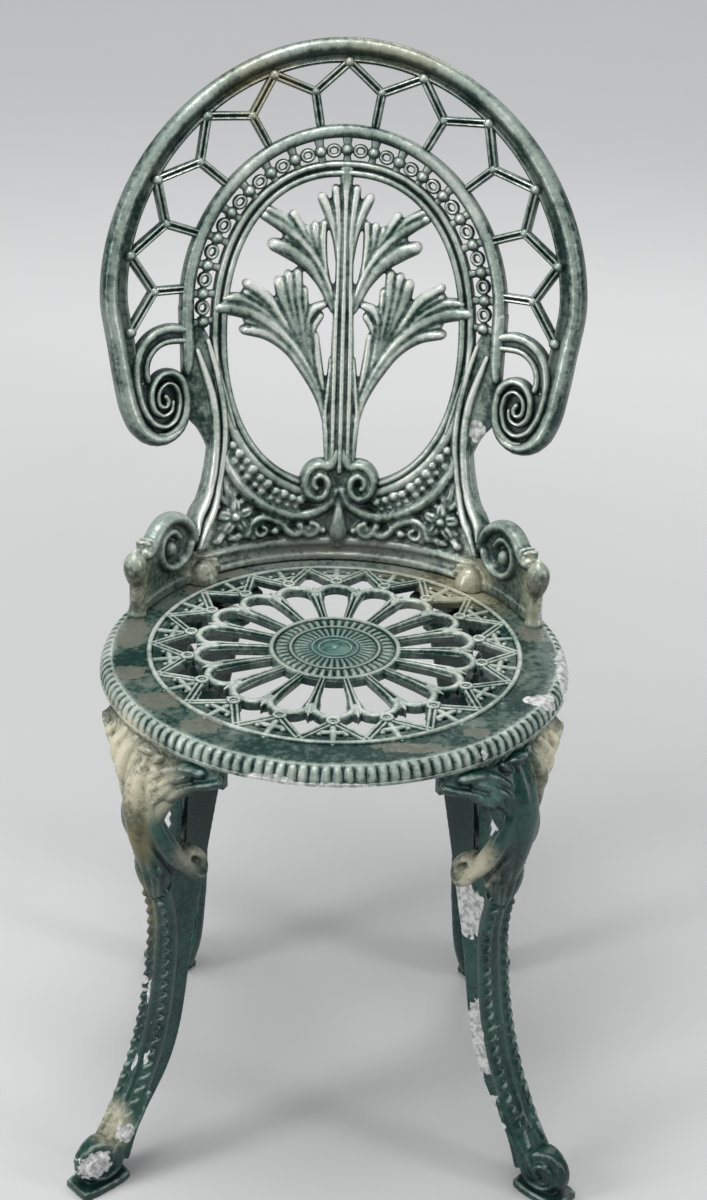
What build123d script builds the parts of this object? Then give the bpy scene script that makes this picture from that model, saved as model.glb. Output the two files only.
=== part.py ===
"""Garden bistro chair of painted cast aluminium: a round pierced seat, a horseshoe
back with a leaf spray, four cabriole legs, and the bolts that hold them together.

Millimetres, +Z up, the front is -Y. The model is built round the seat's axis and is
moved at the end so that the origin is under the middle of its box, on the floor.
"""
import os
from math import asin, atan2, cos, degrees, hypot, radians, sin, sqrt, tan

from build123d import *

# Seat
seat_height = 425
seat_radius = 195
rim_depth = 14
rim_moulding = 10
lip_height = 2.5
lip_step = 1
skirt_wall = 8
band_thickness = 6
ring_radius = 154
ring_bead = 2.5
bar_count = 18
bar_width = 8
bar_start = 58
petal_reach = 100
arch_strap = 5.5
arch_elbow_angle = 14
node_radius = 123
node_land = 6
zigzag_width = 6
pierce_size = 10
medallion_radius = 55
medallion_rise = 3
medallion_step = 9
medallion_boss = 19

# Legs
front_leg_angle = 47.5
rear_leg_angle = 132
rear_splay = 0.25
leg_setback = 3
leg_bend_axis = 130
wing_half_width = 50
wing_depth = 25
wing_margin_angle = 5
rim_wing_angle = 22
rim_wing_depth = 21
knee_radius = 206
knee_drop = 45
knee_half_width = 14
bracket_bow = 29
bracket_scroll = 13
bracket_overlap = 2
bracket_reach = 33
shaft_half_width = 16
waist_radius = 187
waist_height = 222
ankle_radius = 214
ankle_height = 96
toe_radius = 252
toe_height = 34
leg_face = 8
web_depth = 32
web_thickness = 7
strut_top_radius = 113
strut_width = 36
strut_bend_radius = 130
strut_bend_height = 337
pad_inner_radius = 148
pad_thickness = 7
tongue_half_width = 10
foot_scroll = 18
foot_sink = 1
foot_half_width = 15
foot_plate = 7
foot_plate_length = 52
foot_plate_half_width = 17

# Fasteners
leg_bolt_radius = 165
leg_bolt_spread = 11
back_bolt_radius = 168
back_bolt_angle = 135
thread = 8
thread_clearance = 0.6
hole_clearance = 1
washer_clearance = 0.8
leg_bolt_grip = 9
back_bolt_grip = 12
head_flats = 13
head_height = 5.3
washer_outer = 17
washer_thickness = 1.6
spring_washer_outer = 14
spring_washer_thickness = 2
spring_washer_split = 1.5
seat_boss = 20

# Back
back_lean = 11
back_foot_radius = 175
back_curve_radius = 430
back_thickness = 9
rim_extra_depth = 4
blend_height = 112
horseshoe_radius = 206
horseshoe_width = 20
horseshoe_centre = 243
horseshoe_end = -38
volute_x = 151
volute_z = 150
volute_half_width = 21
volute_half_height = 31
strap_radius = 28
strap_width = 9
lattice_pitch = 20
lattice_inner_radius = 163.5
lattice_bar = 6.5
lattice_ball = 4.8
oval_half_width = 141
oval_level = 228
oval_top = 150
oval_bottom = 196
oval_ring = 11
opening_half_width = 105
opening_level = 205
opening_top = 126
opening_bottom = 147
inner_ring = 13
chain_end_height = 205
chain_bars = 9
chain_pitch = 24.7
chain_bar_width = 6
stile_width = 19
stile_foot_x = 127
stile_waist_x = 111
stile_waist_z = 111
stile_margin_angle = 8
base_height = 15
base_half_angle = 74
boss_radius = 10
boss_height = 20
scroll_radius = 16.5
scroll_x = 20
scroll_z = 68
pendant_half_width = 6
pendant_half_height = 16
spandrel_hole = 7
ear_angle = 54
ear_scroll_radius = 26
ear_scroll_height = 42
ear_knob_radius = 11
ear_knob_height = 48
ear_eye = 7

# Leaf spray: each leaf is a list of (x, height, half width) stations along its middle, right side only
central_leaf = [
    (0, 60, 10), (0, 130, 15), (0, 180, 10), (0, 262, 9), (0, 296, 13), (0, 318, 21), (0, 341, 5)
]
side_leaves = [
    [(8, 118, 5), (20, 147, 6), (34, 171, 8), (50, 192, 10), (68, 209, 11), (86, 221, 9), (109, 225, 4)],
    [(50, 194, 5), (68, 204, 7), (89, 207, 5)],
    [(52, 200, 6), (68, 222, 8), (87, 242, 4)],
    [(20, 155, 4), (31, 185, 7), (38, 208, 9), (46, 232, 13), (49, 250, 8)],
    [(27, 194, 4), (28, 212, 5), (16, 223, 4)],
    [(6, 190, 5), (13, 222, 6), (23, 247, 8), (36, 267, 10), (49, 284, 11), (61, 297, 8), (73, 304, 4)],
    [(30, 258, 5), (48, 271, 8), (66, 274, 5)],
    [(16, 236, 5), (25, 268, 9), (29, 292, 8)],
]

# Derived sizes
seat_top = seat_height
leg_top = seat_top - rim_depth
flat_radius = seat_radius - lip_step - rim_moulding
bar_half_pitch = 180 / bar_count
front_view = Plane(origin=(0, 0, seat_top), x_dir=(1, 0, 0), z_dir=(0, -1, 0))


def polar(radius, angle):
    """A point at a radius and an angle in degrees."""
    return radius * cos(radians(angle)), radius * sin(radians(angle))


def oval_point(half_width, level, top, bottom, angle):
    """A point on an oval made of two half ellipses that meet at a level."""
    height = top if sin(radians(angle)) >= 0 else bottom
    return half_width * cos(radians(angle)), level + height * sin(radians(angle))


def leaf_outline(stations):
    """Two smooth sides of a leaf, from its stations along the middle."""
    left, right = [], []
    for i, (x, z, half) in enumerate(stations):
        before = stations[max(i - 1, 0)]
        after = stations[min(i + 1, len(stations) - 1)]
        run = hypot(after[0] - before[0], after[1] - before[1])
        along = ((after[0] - before[0]) / run, (after[1] - before[1]) / run)
        left.append((x - along[1] * half, z + along[0] * half))
        right.append((x + along[1] * half, z - along[0] * half))
    return left, right


def leaf_face(stations):
    """A leaf as a flat face in the front view."""
    left, right = leaf_outline(stations)
    with BuildSketch() as leaf:
        with BuildLine():
            Spline(*left)
            Line(left[-1], right[-1])
            Spline(*right)
            Line(right[0], left[0])
        make_face()
    return leaf.sketch


def oval_face(half_width, level, top, bottom):
    """A face inside an oval made of two half ellipses."""
    with BuildSketch() as oval:
        with BuildLine():
            EllipticalCenterArc((0, level), half_width, top, 0, arc_size=180)
            EllipticalCenterArc((0, level), half_width, bottom, 180, arc_size=180)
        make_face()
    return oval.sketch


def bar_between(start, end, width):
    """A straight bar between two points of the front view."""
    middle = ((start[0] + end[0]) / 2, (start[1] + end[1]) / 2)
    length = hypot(end[0] - start[0], end[1] - start[1])
    turn = degrees(atan2(end[1] - start[1], end[0] - start[0]))
    with BuildSketch() as bar:
        with Locations(Location((middle[0], middle[1], 0), (0, 0, turn))):
            Rectangle(length, width)
    return bar.sketch


# Seat casting: flat band with a rounded edge and lip, pierced middle, medallion, bolt bosses
with BuildSketch() as petal:
    side = [polar(rho, bar_half_pitch) for rho in (bar_start, petal_reach)]
    inset = polar(bar_width / 2, bar_half_pitch - 90)
    near = (side[0][0] + inset[0], side[0][1] + inset[1])
    far = (side[1][0] + inset[0], side[1][1] + inset[1])
    with BuildLine():
        Line((near[0], -near[1]), (far[0], -far[1]))
        ThreePointArc((far[0], -far[1]), (far[0] + far[1], 0), far)
        Line(far, near)
        Line(near, (near[0], -near[1]))
    make_face()

with BuildSketch() as kite:
    arch_centre = polar(far[0], bar_half_pitch)
    arch_radius = far[1] + arch_strap
    crotch = arch_centre[0] + sqrt(max(arch_radius**2 - arch_centre[1] ** 2, 1)) + 1
    node = polar(node_radius, bar_half_pitch)
    slope = atan2(node[1], ring_radius - ring_bead - node[0])
    tip = ring_radius - ring_bead - zigzag_width / 2 / sin(slope)
    land = (
        node[0] + node_land * cos(slope) - zigzag_width / 2 * sin(slope),
        node[1] - node_land * sin(slope) - zigzag_width / 2 * cos(slope),
    )
    turn_x, turn_y = polar(arch_radius, arch_elbow_angle)
    elbow = (arch_centre[0] + turn_x, arch_centre[1] - turn_y)
    with BuildLine():
        Polyline((crotch, 0), elbow, land, (tip, 0), (land[0], -land[1]), (elbow[0], -elbow[1]), close=True)
    make_face()

with BuildSketch() as pierce:
    with BuildLine():
        base_x = (node_radius + ring_radius) / 2
        Polyline(
            (base_x - pierce_size / 3, pierce_size * 0.2),
            (base_x + pierce_size * 0.8, pierce_size * 0.3),
            (base_x + pierce_size * 0.7, pierce_size * 1.25),
            close=True,
        )
    make_face()
    mirror(about=Plane.XZ)

leg_spots = []
for leg_angle in (front_leg_angle, rear_leg_angle):
    for sign in (-1, 1):
        for spread in (-leg_bolt_spread, leg_bolt_spread):
            leg_spots.append(polar(leg_bolt_radius, sign * leg_angle + spread - 90))
back_spots = [polar(back_bolt_radius, sign * back_bolt_angle - 90) for sign in (-1, 1)]

with BuildPart() as seat:
    with BuildSketch(Plane.XZ):
        with BuildLine():
            lip_in = seat_radius - lip_step
            knee_in = rim_moulding * sin(radians(45))
            drop = rim_depth - lip_height
            Line((ring_radius - ring_bead, seat_top - band_thickness), (ring_radius - ring_bead, seat_top))
            ThreePointArc(
                (ring_radius - ring_bead, seat_top),
                (ring_radius, seat_top + ring_bead),
                (ring_radius + ring_bead, seat_top),
            )
            Line((ring_radius + ring_bead, seat_top), (flat_radius, seat_top))
            ThreePointArc(
                (flat_radius, seat_top),
                (flat_radius + knee_in, seat_top - drop * (1 - cos(radians(45)))),
                (lip_in, seat_top - drop),
            )
            Polyline(
                (lip_in, seat_top - drop),
                (seat_radius, seat_top - drop),
                (seat_radius, leg_top),
                (seat_radius - skirt_wall, leg_top),
                (seat_radius - skirt_wall, seat_top - band_thickness),
                (ring_radius - ring_bead, seat_top - band_thickness),
            )
        make_face()
    revolve(axis=Axis.Z)
    with BuildSketch(Plane.XY.offset(seat_top - band_thickness)):
        Circle(ring_radius - ring_bead + 0.5)
        with PolarLocations(0, bar_count, start_angle=-90 + bar_half_pitch):
            add(petal.sketch, mode=Mode.SUBTRACT)
            add(pierce.sketch, mode=Mode.SUBTRACT)
        with PolarLocations(0, bar_count, start_angle=-90):
            add(kite.sketch, mode=Mode.SUBTRACT)
    extrude(amount=band_thickness)
    with BuildSketch(Plane.XZ):
        with BuildLine():
            inner_step = medallion_radius - 2 * medallion_step
            Polyline(
                (0, seat_top - band_thickness),
                (medallion_radius, seat_top - band_thickness),
                (medallion_radius, seat_top + medallion_rise / 2),
                (medallion_radius - medallion_step / 2, seat_top + medallion_rise),
                (medallion_radius - medallion_step, seat_top + medallion_rise / 2),
                (inner_step, seat_top + medallion_rise / 2),
                (inner_step - medallion_step / 2, seat_top + medallion_rise),
                (medallion_boss, seat_top + medallion_rise / 2),
                (medallion_boss - medallion_step / 2, seat_top + medallion_rise),
                (0, seat_top + medallion_rise),
                close=True,
            )
        make_face()
    revolve(axis=Axis.Z)
    with BuildSketch(Plane.XY.offset(leg_top)):
        with Locations(*leg_spots, *back_spots):
            Circle(seat_boss / 2)
    extrude(amount=rim_depth - band_thickness + 1)
    with BuildSketch(Plane.XY.offset(leg_top)):
        with Locations(*leg_spots):
            Circle((thread + thread_clearance) / 2)
    extrude(amount=leg_bolt_grip + 1, mode=Mode.SUBTRACT)
    with BuildSketch(Plane.XY.offset(leg_top)):
        with Locations(*back_spots):
            Circle((thread + hole_clearance) / 2)
    extrude(amount=rim_depth, mode=Mode.SUBTRACT)


def make_leg(bolts, splay):
    """A cabriole leg along +X: bent knee with open brackets, T-section shaft, scroll foot and top pad."""
    top_radius = seat_radius - leg_setback
    toe = waist_radius + splay * (toe_radius - waist_radius)
    ankle = waist_radius + splay * (ankle_radius - waist_radius)
    stations = [
        (top_radius, leg_top),
        (knee_radius, leg_top - knee_drop),
        (waist_radius, waist_height),
        (ankle, ankle_height),
        (toe, toe_height),
    ]
    wing_angle = degrees(asin(wing_half_width / (top_radius - leg_bend_axis))) + wing_margin_angle
    edge = radians(-wing_angle)
    start = Plane(
        origin=(leg_bend_axis, 0, 0), x_dir=(cos(edge), sin(edge), 0), z_dir=(sin(edge), -cos(edge), 0)
    )
    bow_centre = (knee_half_width + bracket_bow, leg_top - wing_depth - bracket_bow)
    scroll_centre = (bracket_reach, bow_centre[1] - bracket_bow - bracket_scroll + bracket_overlap)
    shaft_top = scroll_centre[1] - 2 * bracket_scroll
    with BuildPart() as leg:
        with BuildSketch(start):
            with BuildLine():
                outer = Spline(*[(r - leg_bend_axis, z) for r, z in stations])
                inner = Spline(*[(r - leg_bend_axis - leg_face, z) for r, z in stations])
                Line(outer @ 0, inner @ 0)
                Line(outer @ 1, inner @ 1)
            make_face()
        revolve(axis=Axis((leg_bend_axis, 0, 0), (0, 0, 1)), revolution_arc=2 * wing_angle)
        with BuildSketch(Plane.YZ):
            with Locations((0, leg_top - wing_depth / 2)):
                Rectangle(2 * wing_half_width, wing_depth)
            with BuildLine():
                Polyline(
                    (-bow_centre[0], leg_top - wing_depth / 2),
                    (bow_centre[0], leg_top - wing_depth / 2),
                    (bracket_reach + bracket_scroll - 1, scroll_centre[1]),
                    (shaft_half_width, shaft_top),
                    (shaft_half_width, ankle_height),
                    (foot_half_width, 0),
                    (-foot_half_width, 0),
                    (-shaft_half_width, ankle_height),
                    (-shaft_half_width, shaft_top),
                    (-bracket_reach - bracket_scroll + 1, scroll_centre[1]),
                    close=True,
                )
            make_face()
            with Locations(bow_centre, (-bow_centre[0], bow_centre[1])):
                Circle(bracket_bow, mode=Mode.SUBTRACT)
            with Locations(scroll_centre, (-scroll_centre[0], scroll_centre[1])):
                Circle(bracket_scroll)
        extrude(amount=toe_radius + foot_scroll, mode=Mode.INTERSECT)
        with BuildSketch(Plane.XZ):
            with BuildLine():
                pad_level = leg_top - pad_thickness / 2
                crotch_point = (waist_radius, shaft_top + bracket_scroll)
                inner = Spline(
                    (strut_top_radius, pad_level),
                    (strut_bend_radius, strut_bend_height),
                    *[(r - web_depth, z) for r, z in stations[2:]],
                )
                hollow = Spline(
                    (strut_top_radius + strut_width, pad_level),
                    (strut_bend_radius + strut_width, strut_bend_height),
                    crotch_point,
                )
                outer = Spline(crotch_point, *[(r - leg_face / 2, z) for r, z in stations[2:]])
                Line(inner @ 0, hollow @ 0)
                Line(inner @ 1, outer @ 1)
            make_face()
        extrude(amount=web_thickness / 2, both=True)
        flanges = ((pad_inner_radius, pad_thickness), (top_radius - leg_face, rim_wing_depth))
        for inner_radius, depth in flanges:
            with BuildSketch(Plane.XY.offset(leg_top - depth)):
                with BuildLine():
                    CenterArc((0, 0), top_radius, -rim_wing_angle, 2 * rim_wing_angle)
                    CenterArc((0, 0), inner_radius, -rim_wing_angle, 2 * rim_wing_angle)
                    for turn in (-rim_wing_angle, rim_wing_angle):
                        Line(polar(inner_radius, turn), polar(top_radius, turn))
                make_face()
            extrude(amount=depth)
        with BuildSketch(Plane.XY.offset(leg_top - pad_thickness)):
            with Locations(((strut_top_radius + pad_inner_radius) / 2, 0)):
                Rectangle(pad_inner_radius - strut_top_radius + 2, 2 * tongue_half_width)
        extrude(amount=pad_thickness)
        with BuildSketch(Plane.XZ):
            with Locations((toe + foot_scroll / 2, foot_plate + foot_scroll - foot_sink)):
                Circle(foot_scroll)
        extrude(amount=foot_half_width, both=True)
        with BuildSketch(Plane.XY):
            with Locations((toe + foot_scroll / 4, 0)):
                RectangleRounded(foot_plate_length, 2 * foot_plate_half_width, foot_plate)
        extrude(amount=foot_plate)
        with BuildSketch(Plane.XY.offset(leg_top)):
            with Locations(*bolts):
                Circle((thread + hole_clearance) / 2)
        extrude(amount=-pad_thickness, mode=Mode.SUBTRACT)
    return leg.part


pad_bolts = [polar(leg_bolt_radius, sign * leg_bolt_spread) for sign in (-1, 1)]
back_bolt_turn = back_bolt_angle - rear_leg_angle
front_leg = make_leg(pad_bolts, 1)
rear_left_leg = make_leg([*pad_bolts, polar(back_bolt_radius, -back_bolt_turn)], rear_splay)
rear_right_leg = make_leg([*pad_bolts, polar(back_bolt_radius, back_bolt_turn)], rear_splay)
legs = {
    "front_left": (front_leg, -90 - front_leg_angle),
    "front_right": (front_leg, -90 + front_leg_angle),
    "rear_left": (rear_left_leg, -90 - rear_leg_angle),
    "rear_right": (rear_right_leg, -90 + rear_leg_angle),
}


# Back casting
horseshoe_middle = (0, horseshoe_centre)
lattice_outer_radius = horseshoe_radius - horseshoe_width


def horseshoe_point(radius, angle):
    """A point round the horseshoe's centre in the front view."""
    x, z = polar(radius, angle)
    return x, z + horseshoe_centre


with BuildSketch(front_view) as horseshoe:
    with Locations(horseshoe_middle):
        Circle(horseshoe_radius)
        Circle(lattice_outer_radius, mode=Mode.SUBTRACT)
    with BuildLine():
        far_end = horseshoe_point(2 * horseshoe_radius, horseshoe_end)
        Polyline(
            horseshoe_middle,
            far_end,
            (0, far_end[1] - horseshoe_radius),
            (-far_end[0], far_end[1]),
            close=True,
        )
    make_face(mode=Mode.SUBTRACT)
    with Locations((volute_x, volute_z), (-volute_x, volute_z)):
        Ellipse(volute_half_width, volute_half_height)
    tail = horseshoe_point(horseshoe_radius - horseshoe_width / 2, horseshoe_end)
    with Locations(tail, (-tail[0], tail[1])):
        Circle(horseshoe_width / 2)

with BuildSketch(front_view) as openwork:
    outer_oval = oval_face(oval_half_width, oval_level, oval_top, oval_bottom)
    gap_oval = oval_face(
        oval_half_width - oval_ring, oval_level, oval_top - oval_ring, oval_bottom - oval_ring
    )
    ring_oval = oval_face(
        opening_half_width + inner_ring, opening_level, opening_top + inner_ring, opening_bottom + inner_ring
    )
    opening_oval = oval_face(opening_half_width, opening_level, opening_top, opening_bottom)
    add(outer_oval)
    add(gap_oval, mode=Mode.SUBTRACT)
    lower_box = Rectangle(2 * oval_half_width, chain_end_height, mode=Mode.PRIVATE)
    lower_box = Pos(0, chain_end_height / 2) * lower_box
    add(outer_oval & lower_box)
    add(ring_oval)
    add(opening_oval, mode=Mode.SUBTRACT)
    pieces = []
    for step in range(-5, 6):
        angle = 90 + step * lattice_pitch
        node_point = horseshoe_point(lattice_outer_radius, angle)
        for side_step in (-1, 1):
            inner_angle = angle + side_step * lattice_pitch / 2
            if -1 <= inner_angle <= 181:
                inner_point = horseshoe_point(lattice_inner_radius, inner_angle)
                pieces.append(bar_between(node_point, inner_point, lattice_bar))
    for step in range(10):
        angle = step * lattice_pitch
        inner_point = horseshoe_point(lattice_inner_radius, angle)
        end_point = horseshoe_point(oval_half_width - oval_ring / 2, angle)
        pieces.append(bar_between(inner_point, end_point, lattice_bar))
    chain_half_width = (oval_half_width - oval_ring + opening_half_width + inner_ring) / 2
    chain_top = oval_level + oval_top - oval_ring
    chain_low = opening_level + opening_top + inner_ring
    chain_rise = (chain_top + chain_low) / 2 - oval_level
    chain_turn = degrees(chain_pitch / ((chain_half_width + chain_rise) / 2))
    for step in range(-chain_bars, chain_bars + 1):
        angle = 90 + step * chain_turn
        x, z = oval_point(chain_half_width, oval_level, chain_rise, chain_rise, angle)
        lean = atan2(chain_half_width * sin(radians(angle)), chain_rise * cos(radians(angle)))
        reach = (oval_half_width - opening_half_width) / 2 - chain_bar_width / 2
        start_point = (x - reach * cos(lean), z - reach * sin(lean))
        end_point = (x + reach * cos(lean), z + reach * sin(lean))
        pieces.append(bar_between(start_point, end_point, chain_bar_width))
    for stations in side_leaves:
        pieces.append(leaf_face(stations))
        pieces.append(leaf_face([(-x, z, half) for x, z, half in stations]))
    pieces.append(leaf_face(central_leaf))
    add(pieces)
    nodes = [horseshoe_point(lattice_outer_radius, 90 + step * lattice_pitch) for step in range(-5, 6)]
    with Locations(*nodes):
        Circle(lattice_ball)
    with Locations((scroll_x, scroll_z), (-scroll_x, scroll_z)):
        Circle(scroll_radius)
    strap_x = volute_x - 1
    strap_z = volute_z + strap_radius
    for sign in (-1, 1):
        with BuildLine():
            CenterArc((sign * strap_x, strap_z), strap_radius + strap_width / 2, 90, -sign * 110)
            CenterArc((sign * strap_x, strap_z), strap_radius - strap_width / 2, 90, -sign * 110)
            for radius_pair in (90, 90 - sign * 110):
                low = polar(strap_radius - strap_width / 2, radius_pair)
                high = polar(strap_radius + strap_width / 2, radius_pair)
                Line(
                    (low[0] + sign * strap_x, low[1] + strap_z),
                    (high[0] + sign * strap_x, high[1] + strap_z),
                )
        make_face()
        level = strap_z + strap_radius
        add(bar_between((sign * strap_x, level), (sign * (oval_half_width - oval_ring), level), strap_width))
        web_points = [
            (sign * volute_x, volute_z + volute_half_height / 2),
            (sign * volute_x, volute_z - volute_half_height * 0.7),
            (sign * stile_waist_x, stile_waist_z),
            (sign * (oval_half_width - oval_ring), volute_z + volute_half_height),
        ]
        with BuildLine():
            Polyline(*web_points, close=True)
        make_face()

with BuildSketch(front_view) as lower_openwork:
    add(outer_oval)
    add(opening_oval, mode=Mode.SUBTRACT)
    with Locations((scroll_x, scroll_z), (-scroll_x, scroll_z)):
        Circle(scroll_radius)
    with Locations((0, oval_level - oval_bottom)):
        Ellipse(pendant_half_width, pendant_half_height)
    add(leaf_face(central_leaf))
    for sign in (-1, 1):
        stile = [
            (sign * (oval_half_width - oval_ring), chain_end_height, stile_width / 2),
            (sign * stile_waist_x, stile_waist_z, stile_width / 2),
            (sign * (stile_waist_x + stile_foot_x) / 2, stile_waist_z / 2, stile_width / 2),
            (sign * stile_foot_x, 0, stile_width / 2),
        ]
        add(leaf_face(stile))
        with BuildLine():
            Polyline(
                (0, 0),
                (sign * stile_foot_x, 0),
                (sign * stile_waist_x, stile_waist_z * 0.75),
                (sign * opening_half_width * 0.8, stile_waist_z),
                (0, oval_level - oval_bottom),
                close=True,
            )
        make_face()
        add(opening_oval, mode=Mode.SUBTRACT)
        add(leaf_face(central_leaf))
        hole_spots = [
            (sign * stile_foot_x * 0.80, base_height + 2.2 * spandrel_hole),
            (sign * stile_foot_x * 0.62, base_height + 1.3 * spandrel_hole),
            (sign * stile_foot_x * 0.78, base_height + 5.2 * spandrel_hole),
        ]
        with Locations(*hole_spots):
            Circle(spandrel_hole, mode=Mode.SUBTRACT)
    with Locations((scroll_x, scroll_z), (-scroll_x, scroll_z)):
        Circle(scroll_radius)

lean_plane = Plane(
    origin=(0, back_foot_radius, seat_top),
    x_dir=(1, 0, 0),
    z_dir=(0, sin(radians(back_lean)), cos(radians(back_lean))),
)


def shell(front_extra):
    """The curved, leaning shell that the upper back lies in."""
    with BuildPart() as part:
        with BuildSketch(lean_plane):
            with Locations((0, -back_curve_radius)):
                Circle(back_curve_radius + back_thickness)
                Circle(back_curve_radius - front_extra, mode=Mode.SUBTRACT)
        extrude(amount=2 * horseshoe_radius + horseshoe_centre)
    return part.part


def cut_above(height):
    """A block that holds everything above a height over the seat."""
    reach = 4 * horseshoe_radius
    return Pos(0, 0, seat_top + height + reach / 2) * Box(reach, reach, reach, mode=Mode.PRIVATE)


through = -3 * horseshoe_radius
with BuildPart() as horseshoe_body:
    extrude(horseshoe.sketch, amount=through)
    add(shell(rim_extra_depth), mode=Mode.INTERSECT)

with BuildPart() as openwork_body:
    extrude(openwork.sketch, amount=through)
    add(shell(0), mode=Mode.INTERSECT)
    add(cut_above(blend_height), mode=Mode.INTERSECT)

blend_y = back_foot_radius + blend_height * tan(radians(back_lean))
with BuildPart() as lower_shell:
    reach_angle = degrees(asin(stile_foot_x / back_foot_radius)) + stile_margin_angle
    top_angle = degrees(asin((oval_half_width + 10) / back_curve_radius))
    sections = (
        (seat_top, 0, back_foot_radius, reach_angle),
        (seat_top + blend_height + 1, blend_y - back_curve_radius, back_curve_radius, top_angle),
    )
    for level, centre_y, radius, half_angle in sections:
        with BuildSketch(Plane.XY.offset(level)):
            with BuildLine():
                CenterArc((0, centre_y), radius, 90 - half_angle, 2 * half_angle)
                CenterArc((0, centre_y), radius + back_thickness, 90 - half_angle, 2 * half_angle)
                for turn in (90 - half_angle, 90 + half_angle):
                    low = polar(radius, turn)
                    high = polar(radius + back_thickness, turn)
                    Line((low[0], low[1] + centre_y), (high[0], high[1] + centre_y))
            make_face()
    loft(ruled=True)

with BuildPart() as lower_body:
    extrude(lower_openwork.sketch, amount=through)
    add(lower_shell.part, mode=Mode.INTERSECT)


def ear(sign):
    """A side ear: a wall along the seat's edge with a scroll, a shoulder and a knob at its front end."""
    wall_outer = back_foot_radius + back_thickness
    facing = 90 - sign * ear_angle
    middle = polar(back_foot_radius, facing)
    view = Plane(
        origin=(middle[0], middle[1], seat_top),
        x_dir=(cos(radians(facing - sign * 90)), sin(radians(facing - sign * 90)), 0),
        z_dir=(-sign * cos(radians(facing)), -sign * sin(radians(facing)), 0),
    )
    run = radians(base_half_angle - ear_angle) * back_foot_radius
    with BuildPart() as part:
        with BuildSketch(Plane.XY.offset(seat_top)):
            Circle(wall_outer)
            Circle(back_foot_radius, mode=Mode.SUBTRACT)
        extrude(amount=ear_scroll_height + ear_scroll_radius + 5)
        with BuildSketch(view):
            with Locations((0, ear_scroll_height)):
                Circle(ear_scroll_radius)
            with Locations((run - ear_knob_radius, ear_knob_height)):
                Circle(ear_knob_radius)
            with BuildLine():
                Polyline(
                    (-ear_scroll_radius, 0),
                    (run - ear_knob_radius / 2, 0),
                    (run - ear_knob_radius / 2, ear_knob_height),
                    (0, ear_scroll_height + ear_scroll_radius * 0.7),
                    (-ear_scroll_radius, ear_scroll_height),
                    close=True,
                )
            make_face()
            with Locations((0, ear_scroll_height)):
                Circle(ear_eye, mode=Mode.SUBTRACT)
        extrude(amount=back_foot_radius / 2, both=True, mode=Mode.INTERSECT)
    return part.part


with BuildPart() as back:
    with BuildSketch(Plane.XY.offset(seat_top)):
        with BuildLine():
            CenterArc((0, 0), back_foot_radius, 90 - ear_angle, 2 * ear_angle)
            CenterArc((0, 0), back_foot_radius + back_thickness, 90 - ear_angle, 2 * ear_angle)
            for turn in (90 - ear_angle, 90 + ear_angle):
                Line(polar(back_foot_radius, turn), polar(back_foot_radius + back_thickness, turn))
        make_face()
    extrude(amount=base_height)
    add([lower_body.part, openwork_body.part, horseshoe_body.part, ear(1), ear(-1)])
    with BuildSketch(Plane.XY.offset(seat_top)):
        with Locations(*back_spots):
            Circle(boss_radius)
    extrude(amount=boss_height)
    with BuildSketch(Plane.XY.offset(seat_top)):
        with Locations(*back_spots):
            Circle((thread + thread_clearance) / 2)
    extrude(amount=back_bolt_grip + 1, mode=Mode.SUBTRACT)


# Fasteners: each bolt points up, with a spring washer and a flat washer between its head and the pad
def bolt_part(length):
    """A hexagon-head bolt with its head below the origin and its shank above."""
    with BuildPart() as bolt:
        with BuildSketch():
            RegularPolygon(head_flats / 2, 6, major_radius=False)
        extrude(amount=-head_height)
        with BuildSketch():
            Circle(thread / 2)
        extrude(amount=length)
    return bolt.part


def washer_part(outer, thickness, split):
    """A flat ring on the origin, cut through where it is a spring washer."""
    with BuildPart() as washer:
        with BuildSketch():
            Circle(outer / 2)
            Circle((thread + washer_clearance) / 2, mode=Mode.SUBTRACT)
            if split:
                with Locations((outer / 2, 0)):
                    Rectangle(outer, split, mode=Mode.SUBTRACT)
        extrude(amount=thickness)
    return washer.part


def group_part(piece, spots, level):
    """Equal pieces standing at several spots at one level."""
    with BuildPart() as group:
        with Locations(*[(x, y, level) for x, y in spots]):
            add(piece)
    return group.part


pad_under = leg_top - pad_thickness
washer_level = pad_under - washer_thickness
spring_level = washer_level - spring_washer_thickness
head_gap = washer_thickness + spring_washer_thickness
leg_bolt = bolt_part(head_gap + pad_thickness + leg_bolt_grip)
back_bolt = bolt_part(head_gap + pad_thickness + rim_depth + back_bolt_grip)
flat_washer = washer_part(washer_outer, washer_thickness, 0)
spring_washer = washer_part(spring_washer_outer, spring_washer_thickness, spring_washer_split)

chair = {"seat": seat.part, "back": back.part}
for leg_name, (leg_part, turn) in legs.items():
    chair[f"{leg_name}_leg"] = leg_part.rotate(Axis.Z, turn)
    spots = [polar(leg_bolt_radius, turn + sign * leg_bolt_spread) for sign in (-1, 1)]
    chair[f"{leg_name}_bolts"] = group_part(leg_bolt, spots, spring_level)
    chair[f"{leg_name}_washers"] = group_part(flat_washer, spots, washer_level)
    chair[f"{leg_name}_spring_washers"] = group_part(spring_washer, spots, spring_level)
chair["back_bolts"] = group_part(back_bolt, back_spots, spring_level)
chair["back_washers"] = group_part(flat_washer, back_spots, washer_level)
chair["back_spring_washers"] = group_part(spring_washer, back_spots, spring_level)

boxes = [part.bounding_box() for part in chair.values()]
middle_y = (min(box.min.Y for box in boxes) + max(box.max.Y for box in boxes)) / 2

os.makedirs("parts", exist_ok=True)
for name, part in chair.items():
    placed = part.moved(Location((0, -middle_y, 0)))
    placed.label = name
    export_step(placed, f"parts/{name}.step")
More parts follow.
